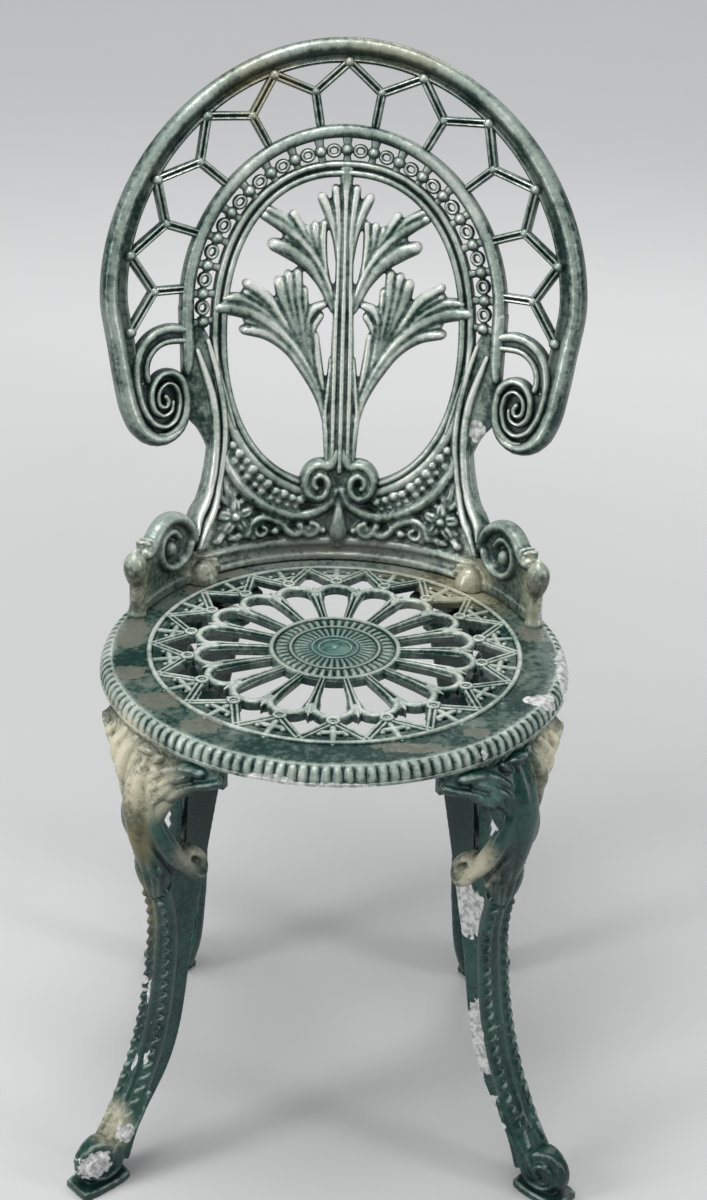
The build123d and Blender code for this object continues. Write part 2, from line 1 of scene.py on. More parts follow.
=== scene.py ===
"""Looks of a garden bistro chair of worn, green-painted cast aluminium.

The six castings are rebuilt here with their relief: the horseshoe back with its lattice, bead chain and
leaf spray, the pierced seat with its fluted edge, and four scrolled legs. Lengths are in millimetres in a
chair frame whose origin is on the seat's axis at floor level, with +Z up and the front at -Y.
"""
import math

import bmesh
import bpy
import numpy as np
from mathutils import Matrix, Vector


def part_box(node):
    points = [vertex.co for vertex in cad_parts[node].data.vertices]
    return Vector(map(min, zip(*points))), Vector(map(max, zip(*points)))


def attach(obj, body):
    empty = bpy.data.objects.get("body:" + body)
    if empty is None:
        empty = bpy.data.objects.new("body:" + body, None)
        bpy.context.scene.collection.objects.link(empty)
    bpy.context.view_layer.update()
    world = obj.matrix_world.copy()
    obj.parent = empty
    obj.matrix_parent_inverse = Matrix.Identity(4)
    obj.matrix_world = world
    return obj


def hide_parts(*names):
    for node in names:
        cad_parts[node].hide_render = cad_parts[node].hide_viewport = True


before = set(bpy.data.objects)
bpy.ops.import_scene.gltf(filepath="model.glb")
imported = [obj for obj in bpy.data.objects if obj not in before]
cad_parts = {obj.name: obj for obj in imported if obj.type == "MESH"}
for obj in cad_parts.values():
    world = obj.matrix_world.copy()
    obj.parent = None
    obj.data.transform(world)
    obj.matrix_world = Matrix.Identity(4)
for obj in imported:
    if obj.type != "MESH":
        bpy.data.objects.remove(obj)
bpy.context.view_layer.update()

MM = 0.001

# Sizes taken from the frame
seat_low, seat_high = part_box("seat")
back_low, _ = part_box("back")
AXIS_Y = (seat_low.y + seat_high.y) / 2 / MM
SEAT_TOP = back_low.z / MM
SEAT_RADIUS = (seat_high.x - seat_low.x) / 2 / MM
RIM_DEPTH = SEAT_TOP - seat_low.z / MM
LEG_TOP = SEAT_TOP - RIM_DEPTH

# Back surface: it leans, and its curve is tighter at the foot than at the top
BACK_FOOT = 175.0
BACK_LEAN = math.tan(math.radians(11))
CURVE_HEIGHTS = (0, 60, 120, 220)
CURVE_RADII = (182, 250, 340, 430)
BACK_DEPTH = 8.6

# How far the stiles come forward near their feet
STILE_LEVELS = (28, 36, 44, 51, 62, 74)
STILE_FORWARD = (22, 20, 16, 10, 4, 0)

# Horseshoe and lattice of the back; ovals as centre height, half width, and half height above and below
HORSESHOE_Z = 243.0
HORSESHOE_R = 195.5
LATTICE_OUTER = 186.0
LATTICE_INNER = 163.5
LATTICE_PITCH = 20
OVAL = (228.0, 135.5, 144.5, 190.5)
CHAIN = (228.0, 123.0, 129.0, 129.0)
OPENING = (205.0, 105.0, 133.0, 141.0)

# How full the shoulders of the opening are; an ellipse has 2
RING_FULL = 2.25

# Ears of the back, the level of their posts in the wall, and the bosses on the seat behind them
EAR_ANGLE = 54
EAR_WALL = 175.0
EAR_LEAN = 0.1
EAR_STRETCH = 1.06
POST_LEVEL = -3
BOSS_ANGLE = 44
BOSS_RADIUS = 170

# Seat openwork
BAR_COUNT = 18
SLOT_END = 100.0
NODE_RADIUS = 123.0
RING_RADIUS = 154.0
FLUTES = 138
SEAT_THICKNESS = 6.0

# Legs
LEG_ANGLES = {"front_left": -47.5, "front_right": 47.5, "rear_left": -132.0, "rear_right": 132.0}
BEND_HEIGHTS = (0, 250, 300, 350, 368, 386, 396, 410)
BEND_RADII = (62, 62, 26, 26, 34, 120, 192, 192)
LEG_RIM = SEAT_RADIUS - 3
REAR_SPLAY = 0.25
WAIST = (187.0, 222.0)

# Round ends of a moulding, as share of its half width beyond the end and share of its size there
CAP_STEPS = ((0.5, 0.87), (0.85, 0.53), (1.0, 0.15))
CAP_LIMIT = 6

# Feet of the mouldings, and the melting of overlapping forms into one skin
FOOT_STEP = 0.06
FOOT_CYCLE = 11
ROPE_DEPTH = 6.0
MELT_ROUNDS = 2
RIDGE = 0.05
SPRAY_GRAIN = 1.1
PANEL_GRAIN = 1.35
EAR_GRAIN = 1.4
LEG_GRAIN = 1.25
SHARP_ANGLE = 42


# Lines and surfaces

def smooth(points, step):
    """A smooth line through points, sampled about every step; extra columns ride along."""
    p = np.array(points, float)
    runs = np.hypot(*np.diff(p[:, :2], axis=0).T)
    t = np.concatenate([[0], np.cumsum(runs)])
    slope = np.gradient(p, t, axis=0)
    line = []
    for i, run in enumerate(runs):
        count = max(1, math.ceil(run / step))
        s = (np.arange(count) / count)[:, None]
        a = 2 * s**3 - 3 * s**2 + 1
        b = (s**3 - 2 * s**2 + s) * run
        c = (s**3 - s**2) * run
        line.append(a * p[i] + b * slope[i] + (1 - a) * p[i + 1] + c * slope[i + 1])
    line.append(p[-1:])
    return np.concatenate(line)


def oval_line(shape, grow, start, end, half, height, count, full=2.0):
    """Part of an oval of two half ellipses, from one angle to another; above 2 its shoulders are fuller."""
    level, across, top, bottom = shape
    angle = np.radians(np.linspace(start, end, count))
    c = np.cos(angle)
    s = np.sin(angle)
    rise = np.where(s >= 0, top, bottom) + grow
    x = (across + grow) * np.sign(c) * np.abs(c) ** (2 / full)
    z = level + rise * np.sign(s) * np.abs(s) ** (2 / full)
    return [(px, pz, half, height) for px, pz in zip(x, z)]


def arc_line(centre, radii, start, end, half, height, count=24):
    """Part of an ellipse with a width and a height."""
    angle = np.radians(np.linspace(start, end, count))
    x = centre[0] + radii[0] * np.cos(angle)
    z = centre[1] + radii[1] * np.sin(angle)
    return [(px, pz, half, height) for px, pz in zip(x, z)]


def spiral_line(centre, start, end, radii, widths, height, count, stretch=1.0):
    """A spiral from one angle to another while its radius and width go from the first to the last value."""
    angle = np.radians(np.linspace(start, end, count))
    share = np.linspace(0, 1, count)
    radius = radii[0] + (radii[1] - radii[0]) * share
    half = widths[0] + (widths[1] - widths[0]) * share
    x = centre[0] + radius * np.cos(angle)
    z = centre[1] + stretch * radius * np.sin(angle)
    return [(px, pz, w, height) for px, pz, w in zip(x, z, half)]


def headings(line):
    """The unit direction of a line at each of its points."""
    along = np.gradient(line[:, :2], axis=0)
    return along / np.hypot(along[:, 0], along[:, 1])[:, None]


def rounded_ends(line, along, limit=math.inf):
    """Adds a round cap to each end of a line; a cap is no longer than the limit."""
    for end, sign in ((0, -1), (-1, 1)):
        caps = []
        for reach, share in CAP_STEPS:
            cap = line[end].copy()
            half = cap[2]
            cap[:2] += sign * along[end] * min(half, limit) * reach
            cap[2] *= share if half < limit else 1 - (1 - share) * limit / half
            cap[3] *= share
            caps.append(cap)
        ways = np.repeat(along[[end]], len(CAP_STEPS), 0)
        line = np.concatenate([line, np.array(caps[::sign])][::sign])
        along = np.concatenate([along, ways][::sign])
    return line, along


def beside(line, along, across):
    """Points to the left of a line, by distances across it."""
    return line[:, 0, None] - along[:, 1, None] * across, line[:, 1, None] + along[:, 0, None] * across


def with_width(points, half, height):
    """Plain points with one width and one height."""
    return [(x, z, half, height) for x, z in points]


def finger_line(points, widest, height):
    """A leaf finger: slim at its root, widest near its round tip."""
    p = np.array(points, float)
    reach = np.concatenate([[0], np.cumsum(np.hypot(*np.diff(p, axis=0).T))])
    reach /= reach[-1]
    half = widest * np.interp(reach, [0, 0.5, 0.85, 1], [0.42, 0.78, 1, 0.72])
    tall = height * np.interp(reach, [0, 0.6, 1], [0.55, 1, 0.85])
    return [(x, z, w, h) for (x, z), w, h in zip(points, half, tall)]


def back_depth(x, z):
    """How far behind the seat's axis the front of the back lies."""
    radius = np.interp(z, CURVE_HEIGHTS, CURVE_RADII)
    return BACK_FOOT + z * BACK_LEAN - (radius - np.sqrt(radius**2 - x**2))


def on_back(x, z, d):
    """A point of the back: across, above the seat, and proud of the front face."""
    y = back_depth(x, z)
    slope_x = (back_depth(x + 0.5, z) - back_depth(x - 0.5, z))
    slope_z = (back_depth(x, z + 0.5) - back_depth(x, z - 0.5))
    length = np.sqrt(slope_x**2 + 1 + slope_z**2)
    return np.stack([x + d * slope_x / length, y - d / length, SEAT_TOP + z + d * slope_z / length], -1)


def on_ear(s, z, d):
    """A point of the right ear: along the wall to the front, above the seat, proud of its inner face."""
    angle = math.radians(EAR_ANGLE) + s / EAR_WALL
    radius = EAR_WALL - d
    return np.stack([radius * np.sin(angle), radius * np.cos(angle), SEAT_TOP + z], -1)


def on_seat(x, y, d):
    """A point of the seat: across, along, and proud of its flat top."""
    return np.stack([x, y, SEAT_TOP + d], -1)


def mirrored(place):
    """The same surface on the other side of the chair."""
    def other(x, z, d):
        return place(x, z, d) * np.array([-1, 1, 1])
    return other


def turned(place, angle):
    """The same surface turned about the seat's axis; at zero its first direction points to the front."""
    c = math.cos(math.radians(angle))
    s = math.sin(math.radians(angle))
    spin = np.array([[s, -c, 0], [c, s, 0], [0, 0, 1]])
    def other(x, z, d):
        return place(x, z, d) @ spin
    return other


# Cross sections: across, height and how much of the paint is rubbed off, which also paints a highlight on
# the ridges

def cross_section(kind):
    """Points over the top of a moulding, from its right edge to its left edge along the line."""
    if kind == "round":
        turn = np.linspace(math.pi, 0, 11)
        return np.cos(turn), np.sin(turn), np.sin(turn) ** 2
    if kind == "double":
        u = np.linspace(-1, 1, 13)
        wave = np.abs(np.sin(math.pi * u))
        h = 0.35 + 0.65 * wave
        h[[0, -1]] = 0
        return u, h, wave**2
    if kind == "rim":
        u = np.array([-1, -0.97, -0.86, -0.64, -0.36, -0.1, 0.12, 0.28, 0.4, 0.52, 0.68, 0.8, 0.92, 1])
        h = np.array([0, 0.36, 0.72, 0.94, 1, 0.9, 0.62, 0.28, 0.12, 0.12, 0.3, 0.4, 0.28, 0])
        return u, h, np.array([0.3, 0.3, 0.5, 0.8, 1, 0.8, 0.4, 0.1, 0, 0, 0.4, 0.9, 0.5, 0.2])
    if kind == "leaf":
        u = np.linspace(-1, 1, 13)
        vein = 1 - 0.4 * np.exp(-((u / 0.2) ** 2))
        h = np.sqrt(1 - u**2) * vein
        return u, h, h**2
    u = np.array([-1, -0.97, -0.85, -0.4, 0, 0.4, 0.85, 0.97, 1])
    h = np.array([0, 0.65, 1, 1, 1, 1, 1, 0.65, 0])
    return u, h, np.array([0.2, 0.6, 0.3, 0.15, 0.1, 0.15, 0.3, 0.6, 0.2])


class Casting:
    """Collects the closed mouldings, domes and turned forms of one casting."""

    def __init__(self):
        self.points = []
        self.crest = []
        self.faces = []
        self.count = 0
        self.pieces = 0

    def add(self, points, crest, faces):
        """Adds one closed form."""
        self.points.append(points.reshape(-1, 3))
        self.crest.append(np.broadcast_to(crest, points.shape[:-1]).reshape(-1))
        self.faces += [[i + self.count for i in face] for face in faces]
        self.count += points.size // 3
        self.pieces += 1

    def sunk(self, depth):
        """The depth of a form's foot, a little different from form to form so that no two feet coincide."""
        return depth + FOOT_STEP * (self.pieces % FOOT_CYCLE)

    def skin(self, rings, crest, looped=False):
        """Joins rings of points into a closed tube, or into a closed loop of them."""
        stations, around = rings.shape[:2]
        here = np.arange(stations if looped else stations - 1)
        after = (here + 1) % stations
        j = np.arange(around)
        k = (j + 1) % around
        quads = np.stack([
            here[:, None] * around + j, here[:, None] * around + k,
            after[:, None] * around + k, after[:, None] * around + j,
        ], -1).reshape(-1, 4).tolist()
        if not looped:
            quads.append(list(range(around))[::-1])
            quads.append([(stations - 1) * around + i for i in range(around)])
        self.add(rings, crest, quads)

    def stroke(self, place, path, kind="round", depth=BACK_DEPTH, step=3.0, looped=False, base=0.0,
               foot=0.9):
        """A moulding along a line: columns are across, up, half width and height."""
        line = smooth(path, step)
        if looped:
            line = line[:-1]
            along = np.roll(line[:, :2], -1, 0) - np.roll(line[:, :2], 1, 0)
            along /= np.hypot(along[:, 0], along[:, 1])[:, None]
        else:
            line, along = rounded_ends(line, headings(line), CAP_LIMIT)
        u, h, crest = cross_section(kind)
        u = np.concatenate([u, [foot, -foot]])[None, :]
        crest = np.concatenate([crest, [0.3, 0.3]])
        d = base + np.outer(line[:, 3], h)
        d = np.concatenate([d, np.full((len(line), 2), -self.sunk(depth))], 1)
        x, z = beside(line, along, u * line[:, 2, None])
        self.skin(place(x, z, d), np.broadcast_to(crest, d.shape), looped)

    def bar(self, place, path, step=2.5):
        """A bar round on all sides: across, up, half width, half thickness and level of its middle."""
        line = smooth(path, step)
        line, along = rounded_ends(line, headings(line))
        turn = np.linspace(math.pi, -math.pi, 16, endpoint=False)
        d = line[:, 4, None] + np.sin(turn)[None, :] * line[:, 3, None]
        x, z = beside(line, along, np.cos(turn)[None, :] * line[:, 2, None])
        self.skin(place(x, z, d), np.broadcast_to(np.sin(turn) ** 2, d.shape))

    def dome(self, place, x, z, radii, height, depth=BACK_DEPTH, around=14):
        """A rounded knob on a surface."""
        turn = np.linspace(0, 2 * math.pi, around, endpoint=False)
        rise = np.radians([88, 66, 44, 22, 0])
        share = np.concatenate([np.cos(rise), [0.9]])[::-1]
        d = np.concatenate([height * np.sin(rise), [-self.sunk(depth)]])[::-1]
        crest = np.concatenate([np.sin(rise) ** 2, [0.3]])[::-1]
        px = x + radii[0] * np.outer(share, np.cos(turn))
        pz = z + radii[1] * np.outer(share, np.sin(turn))
        pd = np.broadcast_to(d[:, None], px.shape)
        self.skin(place(px, pz, pd), np.broadcast_to(crest[:, None], px.shape))

    def slab(self, place, across, low, high, front, depth, rows):
        """A flat plate between a lower and an upper line over the same stations."""
        share = np.linspace(0, 1, rows)
        z_front = low[:, None] + (high - low)[:, None] * share
        x = np.repeat(np.asarray(across, float)[:, None], 2 * rows, 1)
        z = np.concatenate([z_front, z_front[:, ::-1]], 1)
        d = np.concatenate([np.full_like(z_front, front), np.full_like(z_front, -depth)], 1)
        self.skin(place(x, z, d), np.full(z.shape, 0.15))

    def turn_form(self, profile, ripple, around):
        """A form turned about the seat's axis: columns are radius, level and share of rubbed wear and
        painted highlight; it ripples.
        """
        angle = np.linspace(0, 2 * math.pi, around, endpoint=False)[:, None]
        radius, level, rub_and_highlight = np.array(profile, float).T[:, None, :]
        out, up, share = ripple(angle)
        radius = radius + out
        level = level + up
        rings = np.stack([radius * np.sin(angle), -radius * np.cos(angle), SEAT_TOP + level], -1)
        self.skin(rings, rub_and_highlight * share, looped=True)

    def rope(self, place, path, pitch, step=1.5):
        """A twisted moulding: leaning lobes along a line."""
        line = smooth(path, step)
        travel = np.concatenate([[0], np.cumsum(np.hypot(*np.diff(line[:, :2], axis=0).T))])
        turn = np.linspace(math.pi, 0, 9)
        lean = travel[:, None] / pitch - turn[None, :] / math.pi * 0.9
        lobe = np.abs(np.sin(math.pi * lean)) ** 0.8
        u = np.concatenate([np.cos(turn), [0.9, -0.9]])[None, :]
        top = np.sin(turn)[None, :] * (0.15 + 0.85 * lobe)
        d = np.concatenate([line[:, 3, None] * top, np.full((len(line), 2), -ROPE_DEPTH)], 1)
        crest = np.concatenate([top**2, np.full((len(line), 2), 0.2)], 1)
        x, z = beside(line, headings(line), u * line[:, 2, None])
        self.skin(place(x, z, d), crest)

    def mesh(self, name, scale, shift):
        """The forms as a mesh with outward faces."""
        mesh = bpy.data.meshes.new(name)
        mesh.from_pydata(((np.concatenate(self.points) + shift) * scale).tolist(), [], self.faces)
        work = bmesh.new()
        work.from_mesh(mesh)
        bmesh.ops.recalc_face_normals(work, faces=work.faces)
        work.to_mesh(mesh)
        work.free()
        return mesh

    def melt(self, grain):
        """Melts the overlapping forms into one soft skin, cut to a grain, and finds its ridges."""
        melted = bpy.data.objects.new("melted", self.mesh("melted", 1.0, 0.0))
        bpy.context.scene.collection.objects.link(melted)
        remesh = melted.modifiers.new("remesh", "REMESH")
        remesh.mode = "VOXEL"
        remesh.voxel_size = grain
        soften = melted.modifiers.new("soften", "SMOOTH")
        soften.iterations = MELT_ROUNDS
        graph = bpy.context.evaluated_depsgraph_get()
        skin = melted.evaluated_get(graph).to_mesh()
        points = np.array([v.co for v in skin.vertices])
        normals = np.array([v.normal for v in skin.vertices])
        edges = np.array([e.vertices for e in skin.edges])
        faces = [list(face.vertices) for face in skin.polygons]
        bpy.data.objects.remove(melted)
        degree = np.bincount(edges.ravel(), minlength=len(points))[:, None]

        def around(values):
            total = np.zeros_like(values)
            np.add.at(total, edges[:, 0], values[edges[:, 1]])
            np.add.at(total, edges[:, 1], values[edges[:, 0]])
            return total / degree

        swell = ((points - around(points)) * normals).sum(1, keepdims=True)
        for _ in range(3):
            swell = 0.4 * swell + 0.6 * around(swell)
        result = Casting()
        result.add(points, np.clip(0.3 + 0.7 * swell[:, 0] / (RIDGE * grain**2), 0, 1), faces)
        return result

    def join(self, other):
        """Takes over all forms of another collection."""
        self.points += other.points
        self.crest += other.crest
        self.faces += [[i + self.count for i in face] for face in other.faces]
        self.count += other.count
        self.pieces += other.pieces

    def build(self, name, material, nodes):
        """Makes the object, in metres, and hands it to the frame."""
        mesh = self.mesh(name, MM, np.array([0, AXIS_Y, 0]))
        # Ridge share of each point, for rubbed wear and a painted highlight
        rub_and_highlight = mesh.attributes.new("crest", "FLOAT", "POINT")
        rub_and_highlight.data.foreach_set("value", np.concatenate(self.crest).astype(np.float32))
        mesh.shade_smooth()
        mesh.set_sharp_from_angle(angle=math.radians(SHARP_ANGLE))
        mesh.materials.append(material)
        piece = bpy.data.objects.new(name, mesh)
        bpy.context.scene.collection.objects.link(piece)
        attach(piece, "root")
        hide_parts(*nodes)
        return piece


# Materials

class Paint:
    """A helper for one procedural material; heights in it count from a level of the chair frame."""

    def __init__(self, name, level=0.0):
        self.material = bpy.data.materials.new(name)
        self.material.use_nodes = True
        self.tree = self.material.node_tree
        self.shader = self.tree.nodes["Principled BSDF"].inputs
        self.where = self.tree.nodes.new("ShaderNodeTexCoord").outputs["Object"]
        self.level = level

    def feed(self, socket, value):
        """Links a socket to an output, or sets it to a plain value."""
        if isinstance(value, bpy.types.NodeSocket):
            self.tree.links.new(value, socket)
        else:
            socket.default_value = value

    def node(self, kind, sockets, **settings):
        """The outputs of a new node with its settings, and with values or links on its sockets."""
        made = self.tree.nodes.new(kind)
        for key, value in settings.items():
            setattr(made, key, value)
        for key, value in sockets.items():
            self.feed(made.inputs[key], value)
        return made.outputs

    def noise(self, scale, detail, rough, stretch=(1, 1, 1), shift=0.0):
        """Cloudy noise; the scale is in features per metre."""
        start = (shift, 0.7 * shift, 1.3 * shift)
        where = self.node("ShaderNodeMapping", {"Vector": self.where, "Scale": stretch, "Location": start})
        grain = {"Vector": where["Vector"], "Scale": scale, "Detail": detail, "Roughness": rough}
        return self.node("ShaderNodeTexNoise", grain)["Fac"]

    def math(self, operation, a, b):
        """Arithmetic on two values."""
        return self.node("ShaderNodeMath", {0: a, 1: b}, operation=operation)[0]

    def add(self, a, b):
        """The sum of two values."""
        return self.math("ADD", a, b)

    def less(self, a, b):
        """The first value less the second."""
        return self.math("SUBTRACT", a, b)

    def times(self, a, b):
        """The product of two values."""
        return self.math("MULTIPLY", a, b)

    def most(self, values):
        """The largest of several values."""
        top = values[0]
        for value in values[1:]:
            top = self.math("MAXIMUM", top, value)
        return top

    def ramp(self, value, low, high, start=0.0, end=1.0):
        """A soft step from one value to another."""
        range_of = {"Value": value, "From Min": low, "From Max": high, "To Min": start, "To Max": end}
        return self.node("ShaderNodeMapRange", range_of, interpolation_type="SMOOTHSTEP")["Result"]

    def mix(self, share, a, b):
        """A blend of two colours."""
        return self.node("ShaderNodeMix", {0: share, 6: a, 7: b}, data_type="RGBA")[2]

    def zone(self, centre, radii, soft=0.6):
        """One inside an egg-shaped region, zero well outside it."""
        x, y, z = centre
        middle = (x * MM, (y + AXIS_Y) * MM, (z + self.level) * MM)
        size = tuple(r * MM for r in radii)
        offset = self.node("ShaderNodeVectorMath", {0: self.where, 1: middle}, operation="SUBTRACT")[0]
        shrunk = self.node("ShaderNodeVectorMath", {0: offset, 1: size}, operation="DIVIDE")[0]
        length = self.node("ShaderNodeVectorMath", {0: shrunk}, operation="LENGTH")["Value"]
        return self.ramp(length, 1 - soft, 1 + soft, 1.0, 0.0)


# Dark green for painted shade in grooves, under things and on the leg webs
SHADE_GREEN = (0.004, 0.016, 0.013, 1)
DEEP_GREEN = (0.008, 0.036, 0.028, 1)
MID_GREEN = (0.022, 0.085, 0.066, 1)
SILVER = (0.25, 0.29, 0.255, 1)
MINT = (0.44, 0.53, 0.46, 1)
PALE = (0.80, 0.82, 0.76, 1)
PRIMER = (0.80, 0.81, 0.79, 1)
CHALK = (0.34, 0.36, 0.35, 1)
TAUPE = (0.215, 0.212, 0.168, 1)
OCHRE = (0.42, 0.30, 0.10, 1)
CREAM = (0.80, 0.74, 0.54, 1)
TEAL = (0.16, 0.36, 0.32, 1)
DARK_ZINC = (0.36, 0.37, 0.37, 1)
PALE_ZINC = (0.55, 0.56, 0.56, 1)
RUST = (0.20, 0.10, 0.05, 1)
DARK_FLOOR = (0.74, 0.74, 0.73, 1)
PALE_FLOOR = (0.80, 0.80, 0.79, 1)

# Reach of the painted shade in grooves, in metres, and how soft the edges of worn places are
GROOVE_REACH = 0.012
RUBBED_SOFT = 0.15
CHIP_SOFT = 0.4
PATCH_SOFT = 0.85


def worn_green(name, level, rub_and_highlight, film, sheen, chips, stains_and_shade, patches, rubbed=()):
    """Old bottle-green gloss: painted shade in grooves and below, ridges paled by wear and painted
    highlight, tops painted lighter, stains and chips down to the primer.
    """
    paint = Paint(name, level)
    crest = paint.node("ShaderNodeAttribute", {}, attribute_name="crest")["Fac"]
    # Occlusion in hollows: it lessens wear there, makes them rougher, and paints shade into the grooves
    reach = {"Distance": GROOVE_REACH}
    hollow = paint.node("ShaderNodeAmbientOcclusion", reach, samples=6, only_local=True)["AO"]
    cavity = paint.ramp(hollow, 0.25, 0.85, 1.0, 0.0)
    normal = paint.node("ShaderNodeNewGeometry", {})["Normal"]
    up = paint.node("ShaderNodeSeparateXYZ", {0: normal})["Z"]
    broad = paint.noise(24, 5, 0.55)
    fine = paint.noise(190, 6, 0.62, shift=0.31)
    grit = paint.noise(850, 3, 0.6, shift=0.77)
    cloud = paint.add(paint.times(broad, 0.55), paint.times(fine, 0.45))
    speck = paint.add(paint.times(grit, 0.25), fine)
    ragged = paint.add(paint.times(broad, 0.5), paint.times(fine, 1.2))

    # Green, its silvery bloom, and pale ridges and tops: rubbed wear with a painted highlight on the ridges,
    # painted light on the tops
    colour = paint.mix(paint.ramp(cloud, 0.4, 0.6), DEEP_GREEN, MID_GREEN)
    bloom = paint.ramp(paint.add(cloud, film), 0.42, 0.66, 0.0, 0.9)
    colour = paint.mix(bloom, colour, SILVER)
    # Ridges paler from rubbed wear and a painted highlight, with random clouds of wear
    wear_and_highlight = paint.add(paint.times(crest, 0.42), paint.times(cloud, 0.9))
    wear_and_highlight = paint.less(paint.add(wear_and_highlight, rub_and_highlight), paint.times(cavity, 0.35))
    # Painted light from above: surfaces facing up are painted paler, and those facing down a little less
    # pale
    wear_and_highlight = paint.add(wear_and_highlight, paint.ramp(up, -0.3, 0.7, -0.1, 0.16))
    for amount, centre, radii in rubbed:
        wear_and_highlight = paint.add(wear_and_highlight, paint.times(paint.zone(centre, radii, RUBBED_SOFT), amount))
    colour = paint.mix(paint.ramp(wear_and_highlight, 0.62, 0.95, 0.0, 0.85), colour, MINT)
    colour = paint.mix(paint.ramp(wear_and_highlight, 0.88, 1.06, 0.0, 0.9), colour, PALE)

    # Stains and patches of painted shade, then painted shade in the grooves and on surfaces facing down
    for tint, strength, centre, radii in stains_and_shade:
        spread = paint.times(paint.zone(centre, radii), paint.ramp(cloud, 0.38, 0.56, 0.25, 1.0))
        colour = paint.mix(paint.times(spread, strength), colour, tint)
    # Painted shade: darker in hollows and on surfaces facing down
    painted_shade = paint.most([paint.times(cavity, 0.92), paint.ramp(up, -0.7, 0.05, 0.8, 0.0)])
    colour = paint.mix(painted_shade, colour, SHADE_GREEN)

    # Small chips, larger bare places, and thin worn patches
    bare = paint.ramp(speck, 0.93 - chips, 0.95 - chips)
    for tint, spots in patches:
        soft = CHIP_SOFT if tint == PRIMER else PATCH_SOFT
        places = paint.most([paint.zone(centre, radii, soft) for centre, radii in spots])
        cover = paint.ramp(paint.add(places, ragged), 1.42, 1.47)
        if tint == PRIMER:
            bare = paint.most([bare, cover])
        else:
            thin = paint.ramp(speck, 0.48, 0.76, 0.95, 0.4)
            colour = paint.mix(paint.times(cover, thin), colour, tint)
    chalk = paint.mix(paint.ramp(speck, 0.5, 0.72), CHALK, PRIMER)
    colour = paint.mix(bare, colour, chalk)

    gloss = paint.add(paint.ramp(cloud, 0.3, 0.7, 0.18, 0.38), paint.times(bare, 0.3))
    height = paint.less(paint.times(fine, 0.7), paint.times(bare, 0.35))
    height = paint.add(height, paint.times(grit, 0.25))
    bump = paint.node("ShaderNodeBump", {"Strength": 0.3, "Distance": MM, "Height": height})
    paint.feed(paint.shader["Base Color"], colour)
    paint.feed(paint.shader["Metallic"], paint.times(paint.times(bloom, sheen), paint.less(1.0, bare)))
    paint.feed(paint.shader["Roughness"], paint.add(gloss, paint.times(cavity, 0.3)))
    paint.feed(paint.shader["Specular IOR Level"], 0.45)
    paint.feed(paint.shader["Normal"], bump["Normal"])
    return paint.material


def zinc_steel():
    """Dull zinc with brushed streaks and a little rust."""
    paint = Paint("zinc_steel")
    streak = paint.noise(240, 4, 0.6, stretch=(1, 1, 6))
    rust = paint.ramp(paint.noise(160, 5, 0.65, shift=0.5), 0.55, 0.7, 0.0, 0.7)
    colour = paint.mix(streak, DARK_ZINC, PALE_ZINC)
    paint.feed(paint.shader["Base Color"], paint.mix(rust, colour, RUST))
    paint.feed(paint.shader["Metallic"], paint.less(1.0, rust))
    paint.feed(paint.shader["Roughness"], paint.ramp(streak, 0.2, 0.8, 0.35, 0.6))
    return paint.material


# Back casting: both halves of its surface, and how deep its fine trim and its lower panel's forms go
BOTH_SIDES = (on_back, mirrored(on_back))
TRIM_DEPTH = 6
PANEL_DEPTH = 8

# Even steps that scatter the small lumps of the lower panel: across, up and in size
SCATTER = (0.618, 0.755, 0.414)

# How much fuller the leaf fingers are than their listed half widths and heights
FINGER_WIDTH = 1.35
FINGER_HEIGHT = 1.3

# Chain of beads: how many on each side of the top one, and degrees between them
BEADS_EACH_WAY = 9
BEAD_PITCH = 10.7


def horseshoe_point(radius, angle):
    """A point round the middle of the horseshoe."""
    turn = math.radians(angle)
    return radius * math.cos(turn), HORSESHOE_Z + radius * math.sin(turn)


# Right side, as across, up, half width and height: C strap that runs on into a spiral, and its second arm
STRAP = [(137, 208.5, 4.2, 5.5), (150, 210.5, 4.4, 5.5), (164, 206.5, 4.4, 5.5), (174.5, 195, 4.2, 5.5),
         (178, 178, 3.8, 5.5), (175.8, 158, 3.4, 6), (170, 141.5, 3.2, 6.5), (162, 131.5, 3, 7),
         (153.5, 128.8, 2.9, 7.5), (146.5, 133, 2.8, 8), (143, 142, 2.7, 8), (142.8, 153, 2.7, 8),
         (146.4, 162.2, 2.7, 8), (152.5, 165.5, 2.7, 8), (158.3, 162, 2.7, 8), (160.8, 153.5, 2.7, 7.5),
         (158.4, 146.4, 2.7, 7.5), (154, 145.4, 2.7, 7.5), (152.2, 150.5, 2.8, 7.5),
         (154.6, 154.5, 2.8, 7.5)]
VOLUTE = [(148.2, 149, 2.2, 6.5), (149.5, 141.5, 2.5, 7), (156, 138.3, 2.7, 7.5), (162.8, 142.8, 2.8, 8),
          (166, 153, 2.9, 8), (164.6, 164.6, 3.1, 8.5), (158, 172.6, 3.5, 8.5), (149.6, 173.6, 3.8, 8.5),
          (141.4, 167.6, 4, 8.5), (137.4, 156, 4.2, 8.5), (136.6, 143.5, 4.5, 8.5),
          (139, 132.5, 4.9, 8.5), (144.8, 125, 4.8, 7.5), (152.5, 121.5, 4, 6), (160, 122.5, 3, 4)]


